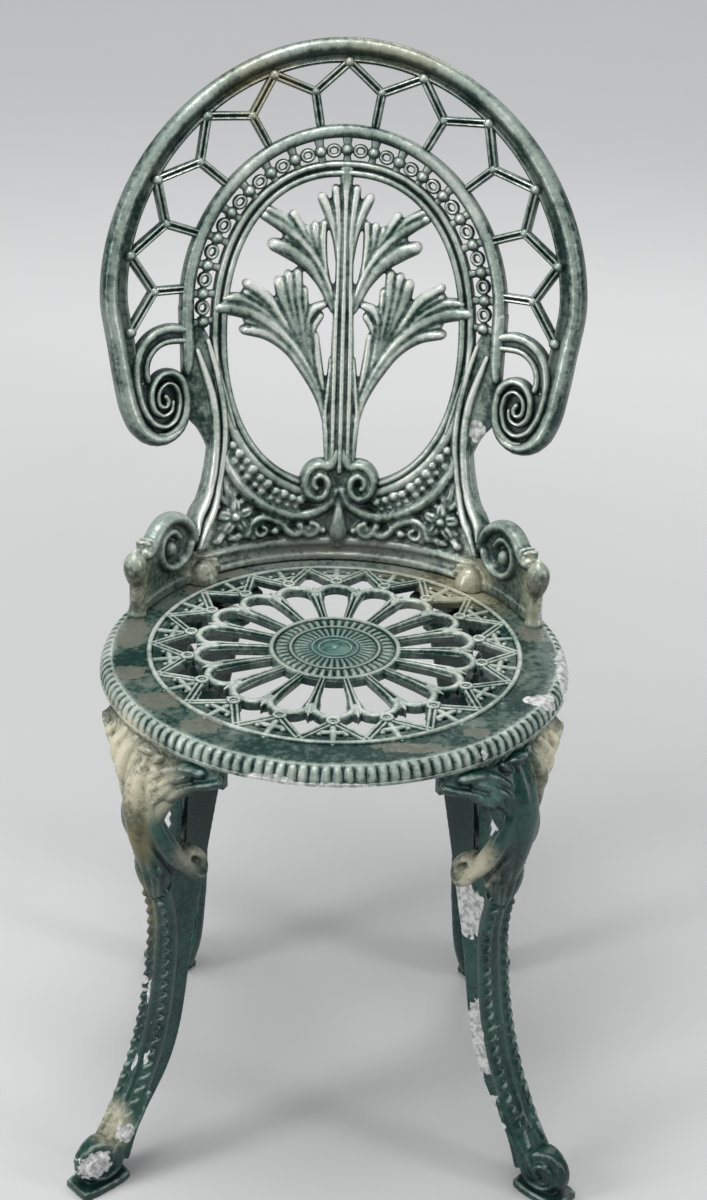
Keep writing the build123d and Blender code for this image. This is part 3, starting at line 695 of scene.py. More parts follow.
def add_horseshoe(back):
    """The rim of the back, with a volute at each end and its C strap."""
    tail = [(137.4, 141, 4, 7), (139.6, 131.5, 5.2, 8), (145.5, 124.5, 6.6, 8.5), (153.5, 121, 7.8, 8.5),
            (162, 123, 8.8, 8.5), (170, 130.5, 9.8, 8.5), (178, 147, 10.3, 8.5), (184, 172, 10.5, 8.5),
            (189, 200, 10.5, 8.5)]
    middle = [horseshoe_point(HORSESHOE_R, angle) for angle in range(0, 181, 6)]
    arch = with_width(middle, 10.5, 8.5)
    whole = tail + arch + [(-x, z, w, h) for x, z, w, h in reversed(tail)]
    back.stroke(on_back, whole, "rim", step=5, base=-0.5)
    for place in BOTH_SIDES:
        back.stroke(place, arc_line((155, 148), (11, 13), 0, 360, 12, 0.8), "flat", step=6)
        back.stroke(place, arc_line((150, 178), (24.5, 28), 118, 0, 7, 1.2), "flat")
        for line in (STRAP, VOLUTE):
            back.stroke(place, line, step=2.5)
        curve = arc_line((150, 178), (20, 22), 88, -24, 3, 4.8)
        back.stroke(place, [(135, 199.6, 3, 4.8), (142, 200, 3, 4.8)] + curve)
        web = [(129, 200, 5, 2), (128, 185, 9, 2), (126.5, 165, 12, 2), (125, 149, 13, 2),
               (124, 138, 11.5, 2), (119.5, 128, 8, 2), (115.5, 118, 6, 2), (113, 106, 3, 1)]
        back.stroke(place, web, "flat", step=6)


def add_lattice(back):
    """The zigzag of double bars and balls between the rim and the oval."""
    def bar(start, end):
        back.stroke(on_back, with_width([start, end], 4, 3.8), "double", TRIM_DEPTH, step=8)

    for k in range(-5, 6):
        angle = 90 + k * LATTICE_PITCH
        outer = horseshoe_point(LATTICE_OUTER, angle)
        back.dome(on_back, *outer, (5.2, 5.2), 5.5, TRIM_DEPTH)
        for inner_angle in (angle - LATTICE_PITCH / 2, angle + LATTICE_PITCH / 2):
            if 0 <= inner_angle <= 180:
                bar(outer, horseshoe_point(LATTICE_INNER, inner_angle))
    for angle in range(0, 181, LATTICE_PITCH):
        inner = horseshoe_point(LATTICE_INNER, angle)
        bar(inner, horseshoe_point(OVAL[1] + 2, angle))
        back.dome(on_back, *inner, (4.8, 4.8), 4.6, TRIM_DEPTH)


def add_rings(back):
    """The oval ring and the double ring round the opening."""
    count = 80
    ring = oval_line(OVAL, 0, -17, 197, 5.8, 5.5, count)
    fade = np.clip(np.minimum(np.arange(count), np.arange(count)[::-1]) / 4, 0.2, 1)
    back.stroke(on_back, [(x, z, w * f, h * f) for (x, z, w, h), f in zip(ring, fade)], step=5)
    end = [(137, 226, 5), (135.6, 212, 5.8), (134.6, 196, 5.6), (134.6, 183, 5), (135.4, 172, 3.6)]
    for place in BOTH_SIDES:
        back.stroke(place, [(x, z, w, 5.6) for x, z, w in end], step=5)
    back.stroke(on_back, oval_line(OPENING, 3.2, -66, 246, 6.6, 1.2, 110, RING_FULL), "flat", step=5)
    back.stroke(on_back, oval_line(OPENING, -0.4, -72, 252, 3.4, 5.2, 120, RING_FULL), step=5)
    back.stroke(on_back, oval_line(OPENING, 6.8, -12, 192, 3.4, 5, 90, RING_FULL), step=5)
    broad = oval_line(OPENING, 6.4, -79, -6, 5.6, 4.6, 40, RING_FULL)
    slim_end = [(x, z, w - 2.6 * (i > 36), h) for i, (x, z, w, h) in enumerate(broad)]
    for place in BOTH_SIDES:
        back.stroke(place, slim_end, step=5)


def add_link(back, before, here):
    """A small ring between two beads, with a pin to each."""
    way = (here - before) / np.hypot(*(here - before))
    middle = (before + here) / 2
    for start in (before, here):
        stop = middle + (start - middle) * 0.4
        back.stroke(on_back, with_width([start, stop], 2.2, 2.2), "round", 5, step=6)
    turn = np.linspace(0, 2 * math.pi, 17)[:, None]
    ring = middle + way * 5.0 * np.cos(turn) + np.array([-way[1], way[0]]) * 4.2 * np.sin(turn)
    back.stroke(on_back, with_width(ring, 1.9, 3.4), "round", 5, step=4, looped=True)


def add_chain(back):
    """The chain of beads between the oval and the opening, each on a tab across the gap."""
    level, across, rise, _ = CHAIN
    swing = BEAD_PITCH * BEADS_EACH_WAY
    before = None
    for x, z, _, _ in oval_line(CHAIN, 0, 90 - swing, 90 + swing, 0, 0, 2 * BEADS_EACH_WAY + 1):
        tilt = math.atan2((z - level) * across / rise, x * rise / across)
        out = np.array([math.cos(tilt), math.sin(tilt)])
        here = np.array([x, z])
        tab = [(*(here + out * reach), half, 2.6) for reach, half in ((-11, 3.8), (0, 3), (10, 4.4))]
        back.stroke(on_back, tab, "round", TRIM_DEPTH)
        back.dome(on_back, x, z, (5.5, 5.5), 7.2, TRIM_DEPTH)
        if before is not None:
            add_link(back, before, here)
        before = here


def on_stile(x, z, d):
    """The back's surface, brought forward at its foot to meet the ear."""
    return on_back(x, z, d + np.interp(z, STILE_LEVELS, STILE_FORWARD))


def add_stiles(back):
    """The two stiles below the oval: a broad leaf between the rings that narrows to two ridges."""
    leaf = [(125, 206, 5), (119, 185, 9.5), (112.5, 165, 11), (108, 142, 11), (106.5, 122, 9.5),
            (107, 104, 8.5), (109, 85, 8.5), (113, 67, 8.5), (120.5, 55, 8), (128.5, 45, 7), (134, 34, 5)]
    outer = [(127, 190, 2.4), (119.5, 168, 3.8), (113, 146, 4.2), (110.5, 124, 4.4), (110.5, 106, 4.4),
             (111.5, 94, 4.4), (114, 77, 4.4), (120, 62, 4.4), (126.5, 54, 4.2), (131.5, 47, 3.6),
             (134.5, 38, 2.4)]
    inner = [(118, 198, 2.2), (110, 170, 3.6), (105, 144, 3.8), (103, 118, 4), (103.5, 104, 4),
             (105, 93, 4), (107.5, 76.5, 4), (111.5, 62, 4), (117.5, 51, 3.8), (124.5, 43.5, 3.6),
             (131, 34, 3), (135, 26, 2)]
    third = [(115, 190), (105, 160), (98.5, 136), (94, 121)]
    for place in (on_stile, mirrored(on_stile)):
        back.stroke(place, [(x, z, w, 2.2) for x, z, w in leaf], "flat", 14, step=5)
        for line in (outer, inner):
            back.stroke(place, [(x, z, w, 2.4 + 1.3 * w) for x, z, w in line], "round", 14, step=4)
        back.stroke(place, finger_line(third, 3.2, 6))


def add_lower_rail(low):
    """The rail under the opening, its bead chain, the paired volutes and the pendant."""
    rail = [(104, 98), (100.5, 89), (95, 79.5), (83, 63.5), (68, 51.5), (52, 43.5), (38, 40), (25, 41.5),
            (14, 47), (7, 54), (3, 62)]
    band = [(97, 96), (86, 82), (72, 68), (56, 57), (40, 50), (28, 48)]
    lumps = [(96, 106, 3.6), (89.5, 98.5, 4.4), (83, 91.5, 3.4), (77.5, 83.5, 4.6), (71, 76, 3.4),
             (64.5, 70, 4.4), (57, 63, 3.4), (50, 60, 4.4), (42, 56, 3.6), (34.5, 54, 4.2)]
    for place in BOTH_SIDES:
        low.stroke(place, with_width(band, 11, -1.2), "flat", 8, step=5)
        low.stroke(place, with_width(rail, 5.4, 7))
        for x, z, size in lumps:
            low.dome(place, x, z, (size + 1.4, size + 1.4), size + 2.2, 7, around=10)
            low.dome(place, x + 4.5, z - 6, (size + 0.3, size + 0.3), size + 0.6, 7, around=10)
        low.dome(place, 18, 68, (16, 20), 2)
        low.dome(place, 4, 74, (9, 16), 3)
        curl = spiral_line((18.5, 68.5), 118, -410, (14.5, 3.6), (5.8, 4), 10, stretch=1.22, count=70)
        low.stroke(place, [(1.5, 98, 5.4, 6), (5.5, 90, 5.8, 8)] + curl)
    low.stroke(on_back, [(0, 60, 3, 4), (0, 48, 4, 6), (0, 34, 7, 8), (0, 23, 8.5, 8), (0, 15, 6, 5)])


def add_base(low):
    """The band that stands on the seat and the scrollwork over it."""
    reach = np.linspace(-131, 131, 41)
    low.slab(on_back, reach, 0 * reach, 0 * reach + 17.0, 2.2, BACK_DEPTH, 4)
    low.stroke(on_back, with_width([(x, 15.5) for x in reach], 4.5, 3.6), step=8)
    low.stroke(on_back, with_width([(x, 3.0) for x in reach], 3, 4.4), "flat", step=8)
    plates = [(12, [(12, 26), (40, 26), (66, 29), (90, 32), (113, 34), (126, 30)]),
              (10, [(92, 52), (98, 64), (104, 78)]),
              (11, [(8, 38), (30, 33), (52, 34), (72, 40), (88, 52), (99, 70)])]
    scroll = [(82, 27), (79, 35), (71, 40), (60, 38.5), (51, 33), (45, 26), (39, 23), (33.5, 26),
              (35, 32)]
    hook = [(33, 26), (27, 22), (20.5, 24), (19, 30), (24, 33)]
    buds = [(26, 28, 3.4), (14, 26, 3.2), (47, 35, 3.4), (57, 27, 4), (84, 45, 3.6), (76, 24, 3.2),
            (107, 26, 3.6)]
    root = (97, 53)
    tips = [(103, 79, 4.4), (93, 68, 4.2), (109, 66, 3.6), (86, 57, 3.8)]
    for place in BOTH_SIDES:
        for half, points in plates:
            low.stroke(place, with_width(points, half, -0.8), "flat", PANEL_DEPTH)
        low.stroke(place, with_width(scroll, 4.2, 6))
        low.stroke(place, spiral_line((69, 29.5), 80, -250, (7.5, 2.5), (3.4, 2.4), 5.4, count=24))
        low.stroke(place, with_width(hook, 3.6, 5.4))
        for x, z, size in buds:
            low.dome(place, x, z, (size + 0.6, size + 0.6), size + 1.5, PANEL_DEPTH)
        for k in range(30):
            x = 74 + 36 * (SCATTER[0] * k % 1)
            z = 24 + 46 * (SCATTER[1] * k % 1)
            size = 2.4 + 1.8 * (SCATTER[2] * k % 1)
            panel_top = 36 + 0.9 * (x - 72)
            low.dome(place, x, z if z < panel_top else 26, (size, size), size, PANEL_DEPTH, around=10)
        add_rosette(low, place, 93, 43.5)
        for x, z, half in tips:
            middle = (0.5 * (root[0] + x), 0.5 * (root[1] + z))
            low.stroke(place, finger_line([root, middle, (x, z)], half, 5), "leaf", PANEL_DEPTH)


def add_rosette(low, place, x, z):
    """A small flower of five petals and a knob."""
    for k in range(5):
        a = math.radians(90 + 72 * k)
        petal = [(x + r * math.cos(a), z + r * math.sin(a)) for r in (3, 7, 11.5)]
        low.stroke(place, finger_line(petal, 7.4, 7.5), "leaf", PANEL_DEPTH)
    low.dome(place, x, z, (5.2, 5.2), 9.5, PANEL_DEPTH)


# Leaf spray, right half: fingers as half width, height and points
SPRAY = [
    (4.6, 6.5, [(6, 215), (13, 240), (25, 264), (39, 281), (55, 294), (70, 302)]),
    (4.0, 5.5, [(10, 228), (22, 259), (37, 281), (52, 297), (67, 307)]),
    (4.2, 5.5, [(14, 245), (25, 268), (36, 286), (45, 302)]),
    (6.2, 6.5, [(9, 222), (20, 246), (33, 262), (47, 272), (61, 277)]),
    (4.6, 5.5, [(14, 238), (27, 261), (39, 275), (50, 284)]),
    (3.1, 5.5, [(12, 234), (17, 257), (19.5, 280), (18.5, 295)]),
    (4.0, 5.0, [(12, 235), (19, 262), (25, 281), (26, 293)]),
    (4.0, 5.0, [(14, 240), (23, 264), (31, 281), (34, 290)]),
    (4.4, 6.0, [(11, 110), (19, 142), (33, 168), (49, 189), (66, 201), (86, 205)]),
    (3.4, 5.0, [(15, 132), (33, 172), (51, 194), (67, 207), (84, 213)]),
    (5.4, 6.5, [(12, 125), (25, 159), (41, 186), (59, 206), (79, 219), (95, 223.5), (109, 225)]),
    (4.2, 5.5, [(20, 150), (38, 184), (56, 207), (76, 224.5), (91, 232), (103, 233)]),
    (3.8, 5.0, [(22, 158), (38, 187), (54, 209), (70, 227), (85, 237)]),
    (4.4, 5.5, [(24, 164), (40, 193), (54, 213), (67, 231), (84, 244)]),
    (3.6, 5.0, [(18, 145), (28, 178), (33, 206), (35, 226), (34.5, 238)]),
    (4.4, 5.5, [(20, 150), (31, 182), (37, 212), (40.5, 235), (40.5, 253)]),
    (4.4, 5.5, [(23, 154), (34, 186), (42, 214), (47, 237), (48.5, 251)]),
    (5.2, 5.5, [(25, 160), (36, 190), (46, 216), (53, 235), (56.5, 245)]),
    (3.6, 5.0, [(24, 178), (30, 200), (31.5, 213), (27, 221), (18, 225.5)]),
    (3.4, 4.5, [(26, 190), (26.5, 205), (20, 216)]),
    (3.4, 5.0, [(14, 140), (20.5, 172), (24, 199)]),
]


def add_spray(spray):
    """The spray of leaves in the opening, on a ridged stem."""
    stem = [(0, 82, 12), (0, 104, 13), (0, 128, 15), (0, 150, 12), (0, 200, 10), (0, 240, 8),
            (0, 262, 6.5), (0, 282, 8), (0, 296, 10)]
    spray.stroke(on_back, [(x, z, w, 0.5) for x, z, w in stem], "flat")
    ridge = [(0, 80, 3.4, 8), (0, 150, 3.4, 9), (0, 220, 3.2, 9), (0, 300, 3, 8), (0, 322, 4.4, 7),
             (0, 332, 6, 6), (0, 342, 6.8, 5)]
    spray.stroke(on_back, ridge)
    for place in BOTH_SIDES:
        inner = [(6.8, 84, 3, 7), (7, 150, 3.2, 7.5), (6.4, 210, 3, 7.5), (5.2, 262, 2.8, 7),
                 (6, 295, 3.6, 8), (8, 314, 4.4, 8), (9, 324, 4, 6.5)]
        outer = [(5.5, 262, 2.4, 5), (8.5, 285, 3.6, 7), (13, 300, 4.6, 8), (17.5, 311, 5.2, 8),
                 (20.5, 316.5, 4.6, 6.5)]
        edge = [(11.5, 88, 2.6, 5.5), (13, 112, 2.8, 6), (14.5, 132, 2.8, 6), (12, 152, 2.6, 5.5),
                (10, 178, 2, 4.5)]
        for line in (inner, outer, edge):
            spray.stroke(place, line)
        for widest, height, points in SPRAY:
            spray.stroke(place, finger_line(points, FINGER_WIDTH * widest, FINGER_HEIGHT * height))


# Ears: the upper edge as a rolled band, and the spiral inside it
CROWN = [(-27, 40), (-24, 51), (-15, 61.5), (-4, 66), (6, 66), (15, 63), (22, 58.5), (27, 54.5), (33, 51),
         (40, 50)]
CURL = [(-22, 38), (-15, 28), (-3, 23.5), (9, 25.5), (17.5, 33), (20, 43), (16.5, 52.5), (8, 57),
        (-1, 55.5), (-7, 48.5)]


def leaning_ear(s, z, d):
    """The ear's surface, stretched a little upward and leaning forward with height."""
    return on_ear(s + EAR_LEAN * z, EAR_STRETCH * z, d)


def add_ears(ears):
    """The side walls with a rolled scroll, a neck, an egg-shaped knob, a post and a boss behind them."""
    s = np.linspace(-52, 56, 55)
    line = smooth(CROWN, 1.0)
    high = np.interp(s, [-52, -32] + line[:, 0].tolist() + [56], [14, 18] + line[:, 1].tolist() + [46])
    for place in (leaning_ear, mirrored(leaning_ear)):
        ears.slab(place, s, 0 * s, high, 0.5, 9, 8)
        ears.bar(place, [(x, z, 5.4, 8.4, -1) for x, z in CROWN])
        ears.stroke(place, [(x, z, 4.6 - 0.1 * i, 7.5) for i, (x, z) in enumerate(CURL)], "round", 5)
        ears.dome(place, 5, 41, (7.5, 8.5), 8.5, 5)
        for notch in (29.5, 36):
            ears.bar(place, [(notch - 1, 45, 2.2, 8, -2.2), (notch + 1, 58.5, 2.2, 8, -2.2)])
        knob = [(53, 27, 5.5, 6), (54, 34, 8.5, 8.5), (54, 43, 10.5, 10), (53, 51, 8.5, 8.5),
                (52, 57, 3, 3)]
        post = [(56, 1.5, 7.5, 8.5), (55.5, 7, 6, 7), (55, 17, 5.4, 6.4), (54, 28, 5, 6)]
        for form in (knob, post):
            ears.bar(place, [(*station, POST_LEVEL) for station in form])
        ears.stroke(place, with_width([(-50, 5), (-20, 5), (20, 5), (52, 5)], 5, 2.5), "flat", 9)
    turn = math.radians(BOSS_ANGLE)
    for side in (-1, 1):
        x = side * BOSS_RADIUS * math.sin(turn)
        y = BOSS_RADIUS * math.cos(turn)
        ears.dome(on_seat, x, y, (14.5, 12.5), 20, 0)


def make_back():
    """The whole back casting; its leafwork, lower panel and ears are melted into soft skins."""
    back = Casting()
    for add in (add_horseshoe, add_lattice, add_rings, add_chain, add_stiles):
        add(back)
    panel = (add_lower_rail, add_base)
    for adds, grain in (((add_spray,), SPRAY_GRAIN), (panel, PANEL_GRAIN), ((add_ears,), EAR_GRAIN)):
        soft = Casting()
        for add in adds:
            add(soft)
        back.join(soft.melt(grain))
    return back


# Seat casting

def add_seat_rim(seat):
    """The flat band, its bead ring and the fluted edge over a plain lip."""
    edge = SEAT_RADIUS - 10.5
    ovolo = []
    for a in np.radians(np.linspace(0, 90, 9)):
        ovolo.append((edge + 0.8 + 8.6 * math.sin(a), -0.4 - 11 * (1 - math.cos(a)), 1))
    ring = []
    for a in np.radians(np.linspace(180, 0, 9)):
        ring.append((RING_RADIUS + 2.6 * math.cos(a), 2.6 * math.sin(a), math.sin(a)))
    flat = [(RING_RADIUS + 3.4, 0, 0.05), (RING_RADIUS + 10, -0.4, 0.05), (edge - 8, -0.4, 0.05),
            (edge - 1.2, 0.2, 0.5)]
    low = [(SEAT_RADIUS, -11.6, 0.9), (SEAT_RADIUS, -RIM_DEPTH, 0.9), (SEAT_RADIUS - 8, -RIM_DEPTH, 0.2),
           (SEAT_RADIUS - 8, -SEAT_THICKNESS, 0), (RING_RADIUS - 2.6, -SEAT_THICKNESS, 0)]
    profile = ring + flat + ovolo + low
    first = len(ring) + len(flat) + 1
    fluted = slice(first, first + 8)
    tilt = np.radians(np.linspace(10, 80, 8))
    weight, out, up = np.zeros((3, len(profile)))
    weight[fluted] = np.sin(np.linspace(0.5, 2.7, 8))
    out[fluted] = np.sin(tilt)
    up[fluted] = np.cos(tilt)

    def lobes(angle):
        lobe = np.abs(np.sin(angle * FLUTES / 2)) ** 0.42
        lift = (lobe - 0.75) * 2.3 * weight
        share = np.where(weight > 0, lobe**2, 1)
        return lift * out, lift * up, share

    seat.turn_form(profile, lobes, around=FLUTES * 8)


def add_medallion(seat):
    """The disc in the middle, with rings and two rounds of flutes."""
    def ring(radius, half, height, level):
        return [(radius + half * math.cos(a), level + height * math.sin(a), math.sin(a))
                for a in np.radians([0, 45, 90, 135, 180])]
    outer = [(56, -SEAT_THICKNESS, 0), (56, 0.5, 0.5)] + ring(53, 2.5, 2.2, 0.8)
    flutes = [(r, 1.0, 0.9) for r in (49, 47.5, 45, 42.5, 40.5, 39.3)]
    second = ring(37, 1.8, 1.6, 1.2)
    petals = [(r, 1.3, 0.9) for r in (34, 32.5, 29, 25, 22, 20.8)]
    middle = ring(19, 1.4, 1.4, 1.4) + [(16.5, 1.3, 0.1)] + ring(13.6, 1.2, 1.1, 1.3)
    close = [(11, 1.5, 0.2), (6, 2.0, 0.2), (3.6, 2.2, 0.2), (2.6, 3.4, 0.9), (0.4, 3.9, 1),
             (0.4, -SEAT_THICKNESS, 0)]
    profile = outer + flutes + second + petals + middle + close
    start_a = len(outer)
    start_b = start_a + len(flutes) + len(second)
    swell = np.array([0.2, 1, 1, 1, 1, 0.2])
    wave_a, wave_b = np.zeros((2, len(profile)))
    wave_a[start_a:start_a + 6] = swell
    wave_b[start_b:start_b + 6] = swell

    def flute(angle):
        a = np.abs(np.sin(angle * 22)) ** 0.7
        b = np.abs(np.sin(angle * 18)) ** 0.7
        lift = (a - 0.3) * 2.6 * wave_a + (b - 0.3) * 2.2 * wave_b
        share = np.where(wave_a > 0, a**2, np.where(wave_b > 0, b**2, 1))
        return 0 * lift, lift, share

    seat.turn_form(profile, flute, around=396)


def add_openwork(seat):
    """Bars, arches, ring nodes, zigzags and pierced spandrels, eighteen times round."""
    thick = SEAT_THICKNESS
    half_pitch = 180 / BAR_COUNT
    turn = math.radians(half_pitch)

    def between(radius, lean=0.0):
        return radius * math.cos(turn + lean), radius * math.sin(turn + lean)

    def rib(place, path, kind="round"):
        seat.stroke(place, path, kind, thick, foot=0.5)

    bar = [(54, 0, 3.6, 1.4), (70, 0, 4.0, 1.8), (88, 0, 5.2, 2.2), (100, 0, 7.4, 2.2),
           (106, 0, 7.5, 1.6)]
    tip = [(104, 0, 3, 2.4), (109, 0, 2.6, 2.8), (114, 0, 1.2, 1.8)]
    radius = SLOT_END * math.sin(turn) - 1.4
    arch = arc_line(between(SLOT_END), (radius, radius), half_pitch - 98, half_pitch + 98, 4.0, 2.8)
    node = between(NODE_RADIUS)
    band = arc_line((0, 0), (147.5, 147.5), 0, 2 * half_pitch, 3.4, 0.5)
    for k in range(BAR_COUNT):
        place = turned(on_seat, 90 - 360 / BAR_COUNT * k)
        rib(place, [(x, y, w, 0.4) for x, y, w, _ in bar], "flat")
        rib(place, [(x, y, 0.82 * w, h + 1.2) for x, y, w, h in bar], "double")
        rib(place, tip)
        rib(place, arch)
        seat.dome(place, *node, (7, 7), 1.2, thick)
        seat.stroke(place, arc_line(node, (4.4, 4.4), 0, 360, 2.2, 3.6, 17), "round", thick, looped=True)
        for start in (node, (node[0], -node[1])):
            rib(place, with_width([start, (RING_RADIUS - 3, 0)], 4.2, 2.2), "double")
        rib(place, with_width([node, between(RING_RADIUS)], 3.4, 1.4))
        seat.stroke(place, band, "flat", thick, step=6)
        rib(place, with_width([between(138, -0.07), between(138, 0.07)], 3.2, 1.4))
        for lean in (-0.075, 0.075):
            seat.dome(place, *between(142.5, lean), (3, 3), 2.6, thick, 8)


def make_seat():
    """The whole seat casting."""
    seat = Casting()
    add_seat_rim(seat)
    add_medallion(seat)
    add_openwork(seat)
    return seat


# Leg castings: depth of the face's forms and of its leafwork, half the web's thickness, how far the toe
# spreads, the foot's scroll, and half the length of its plate
LEG_DEPTH = 8
LEAF_DEPTH = 7
WEB_HALF = 3.5
TOE_SPREAD = 65
SCROLL_LEVEL = 27
SCROLL_HALF = 8.5
SCROLL_SLANT = 0.2
PLATE_HALF = 24


class Leg:
    """The surface of one leg: tangential place, height above the floor, and how proud it is of the face."""

    def __init__(self, name):
        splay = 1.0 if name.startswith("front") else REAR_SPLAY
        stations = [(LEG_RIM, LEG_TOP), (206, LEG_TOP - 45), WAIST, (WAIST[0] + splay * 27, 96),
                    (WAIST[0] + splay * TOE_SPREAD, 34), (WAIST[0] + splay * 88, 4)]
        self.angle = LEG_ANGLES[name]
        self.toe = WAIST[0] + splay * TOE_SPREAD
        line = smooth(stations, 2.0)
        self.levels = line[::-1, 1]
        self.radii = line[::-1, 0]

    def face(self, z):
        """Distance of the face from the seat's axis."""
        return np.interp(z, self.levels, self.radii)

    def world(self, out, side, z):
        """Radial, tangential and vertical places as a point of the chair frame."""
        c = math.cos(math.radians(self.angle))
        s = math.sin(math.radians(self.angle))
        return np.stack([out * s + side * c, -out * c + side * s, z + 0 * out], -1)

    def on_face(self, t, z, d):
        """A point of the face, which bends back round the knee and follows the seat's edge at the top."""
        bend = np.interp(z, BEND_HEIGHTS, BEND_RADII)
        slope = self.face(z + 1) - self.face(z - 1)
        length = np.sqrt(slope**2 + 4)
        turn = t / bend
        reach = bend + d * 2 / length
        out = self.face(z) - bend + reach * np.cos(turn)
        return self.world(out, reach * np.sin(turn), z - d * slope / length)

    def on_side(self, out, z, d):
        """A point of the flat web: radial place, height, and offset to one side."""
        return self.world(out, d, z)


def flipped(place):
    """The same surface with left and right exchanged."""
    def other(t, z, d):
        return place(-t, z, d)
    return other


def add_web(casting, leg):
    """The flat web behind the face, its strut up to the pad, and the pad."""
    z = np.linspace(12, 405, 60)
    levels = [12, 34, 96, 222, 337, 407]
    toe = leg.toe - 32
    places = [toe + 8, toe, leg.face(96) - 32, 155, 130, 113]
    line = smooth(list(zip(places, levels)), 3)
    low = np.interp(z, line[:, 1], line[:, 0])
    high = np.where(z < 282, leg.face(z) - 3, np.interp(z, [282, 292, 303, 407], [185, 168, 162, 156]))

    def on_web(level, out, side):
        return leg.on_side(out, level, side)

    casting.slab(on_web, z, low, high, WEB_HALF, WEB_HALF, 5)
    casting.bar(leg.on_side, [(r, h, 2.6, 4.6, 0) for r, h in zip(places, levels)], step=5)
    turn = np.radians(np.linspace(-22, 22, 23))[:, None]
    for inner, bottom in ((148, LEG_TOP - 7), (LEG_RIM - 8, LEG_TOP - 19)):
        radius = np.array([inner, LEG_RIM, LEG_RIM, inner])
        level = np.array([LEG_TOP, LEG_TOP, bottom, bottom])
        points = leg.world(radius * np.cos(turn), radius * np.sin(turn), level)
        casting.skin(points, np.full(points.shape[:2], 0.2))
    tongue = [(112, LEG_TOP - WEB_HALF), (150, LEG_TOP - WEB_HALF)]
    casting.stroke(leg.on_side, with_width(tongue, WEB_HALF, 10), "flat", 10)


# Knee, one side: rolled lip over the open bracket, ribbon roll with a curled end, knuckles and leaf lobes
LIP = [(72, 399, 3.5, 5, 0), (60, 393, 4.2, 6, 0), (48, 387, 4.8, 6.5, 0), (39, 379.5, 5, 6.5, 0),
       (31.5, 371, 5, 6, 0), (25.5, 362, 5, 6, 0), (21.5, 352, 4.5, 5.5, 0)]
ROLL = [(13, 362, 5, 5, -1), (17, 350, 6.5, 6.5, 0), (21.5, 338, 7.5, 7.5, 1), (26, 325, 8, 8.5, 1.5),
        (31, 312, 8, 9, 1.5), (37.5, 301, 7, 9, 1), (45, 296, 6, 9, 0.5), (50.5, 302, 5.4, 8.5, 0),
        (47.5, 311, 4.8, 8, 0), (41, 315.5, 4.2, 7, 0), (37, 311, 3.4, 6.5, 0)]
KNUCKLES = [[(12, 384), (26, 395), (41, 402), (57, 403)], [(12, 374), (25, 384), (37, 393), (47, 397)],
            [(16, 364), (25, 374), (33, 384)], [(10, 396), (17, 402)]]
LOBES = [[(16, 403, 5, 4), (21, 394, 7.5, 8), (23, 380, 8.5, 10), (21, 366, 7, 9), (16, 351, 3.5, 5)],
         [(33, 403, 5, 4), (37, 393, 7, 8.5), (37, 380, 7.5, 9.5), (32, 367, 5.5, 7.5), (25, 354, 3, 4)],
         [(50, 402, 4, 4), (53, 394, 6, 7.5), (51, 384, 5.5, 7), (45, 374, 3, 4)]]


def add_knee(casting, leg):
    """The broad knee: a lip and a roll on both sides, a leaf on the outer one and knuckles on the inner."""
    mound = [(0, 402, 7, 4), (0, 390, 10.5, 8), (0, 372, 12.5, 10.5), (0, 355, 12.5, 10.5),
             (0, 338, 10.5, 9), (0, 320, 8, 7.5), (0, 300, 6, 5.5), (0, 282, 4, 4)]
    casting.stroke(leg.on_face, mound, "round", LEG_DEPTH)
    swell = [(0, 398, 17, 3), (0, 380, 20, 5), (0, 360, 20, 5.5), (0, 340, 18, 5), (0, 318, 15, 4.5),
             (0, 300, 12, 3)]
    casting.stroke(leg.on_face, swell, "round", LEG_DEPTH)
    casting.dome(leg.on_face, 0, 403, (12, 4.2), 9.5, LEG_DEPTH)
    outer = 1 if leg.angle > 0 else -1
    for side in (-1, 1):
        face = leg.on_face if side > 0 else flipped(leg.on_face)
        plate = [(8, 396, 14, 0.5), (8, 378, 15, 0.5), (8, 360, 18, 0.5), (8, 342, 17, 0.5),
                 (8, 322, 18, 0.5), (6, 300, 17, 0.5)]
        casting.stroke(face, plate, "flat", LEG_DEPTH)
        casting.dome(face, 29, 376, (9, 9), 1.5, LEG_DEPTH)
        wing = [(20, 390, 14, 0.5), (40, 396, 11, 0.5), (60, 399.5, 8, 0.5), (71, 401, 5, 0.5)]
        casting.stroke(face, wing, "flat", LEG_DEPTH)
        casting.bar(face, LIP)
        casting.bar(face, ROLL)
        if side == outer:
            for lobe in LOBES:
                casting.stroke(face, lobe, "round", LEG_DEPTH)
        else:
            for line in KNUCKLES:
                casting.stroke(face, finger_line(line, 5.6, 7.5), "round", LEAF_DEPTH)
        for line in ([(12, 322), (19, 302), (23, 292)], [(8.5, 308), (13, 290)]):
            casting.stroke(face, with_width(line, 2.4, 4), "round", LEAF_DEPTH)
        for line, half in (([(6, 310), (9, 290), (6, 268)], 4.6), ([(15, 300), (15, 286), (11, 272)], 3.8)):
            casting.stroke(face, finger_line(line, half, 6), "round", LEAF_DEPTH)
        for t, z, size in ((10, 262, 4.2), (18, 299, 3.0), (12, 294, 3.4), (16, 276, 3.2)):
            casting.dome(face, t, z, (size, size), size + 2, LEAF_DEPTH)
    casting.stroke(leg.on_face, finger_line([(0, 308), (0, 288), (0, 264)], 4.6, 6.5), "round", LEAF_DEPTH)


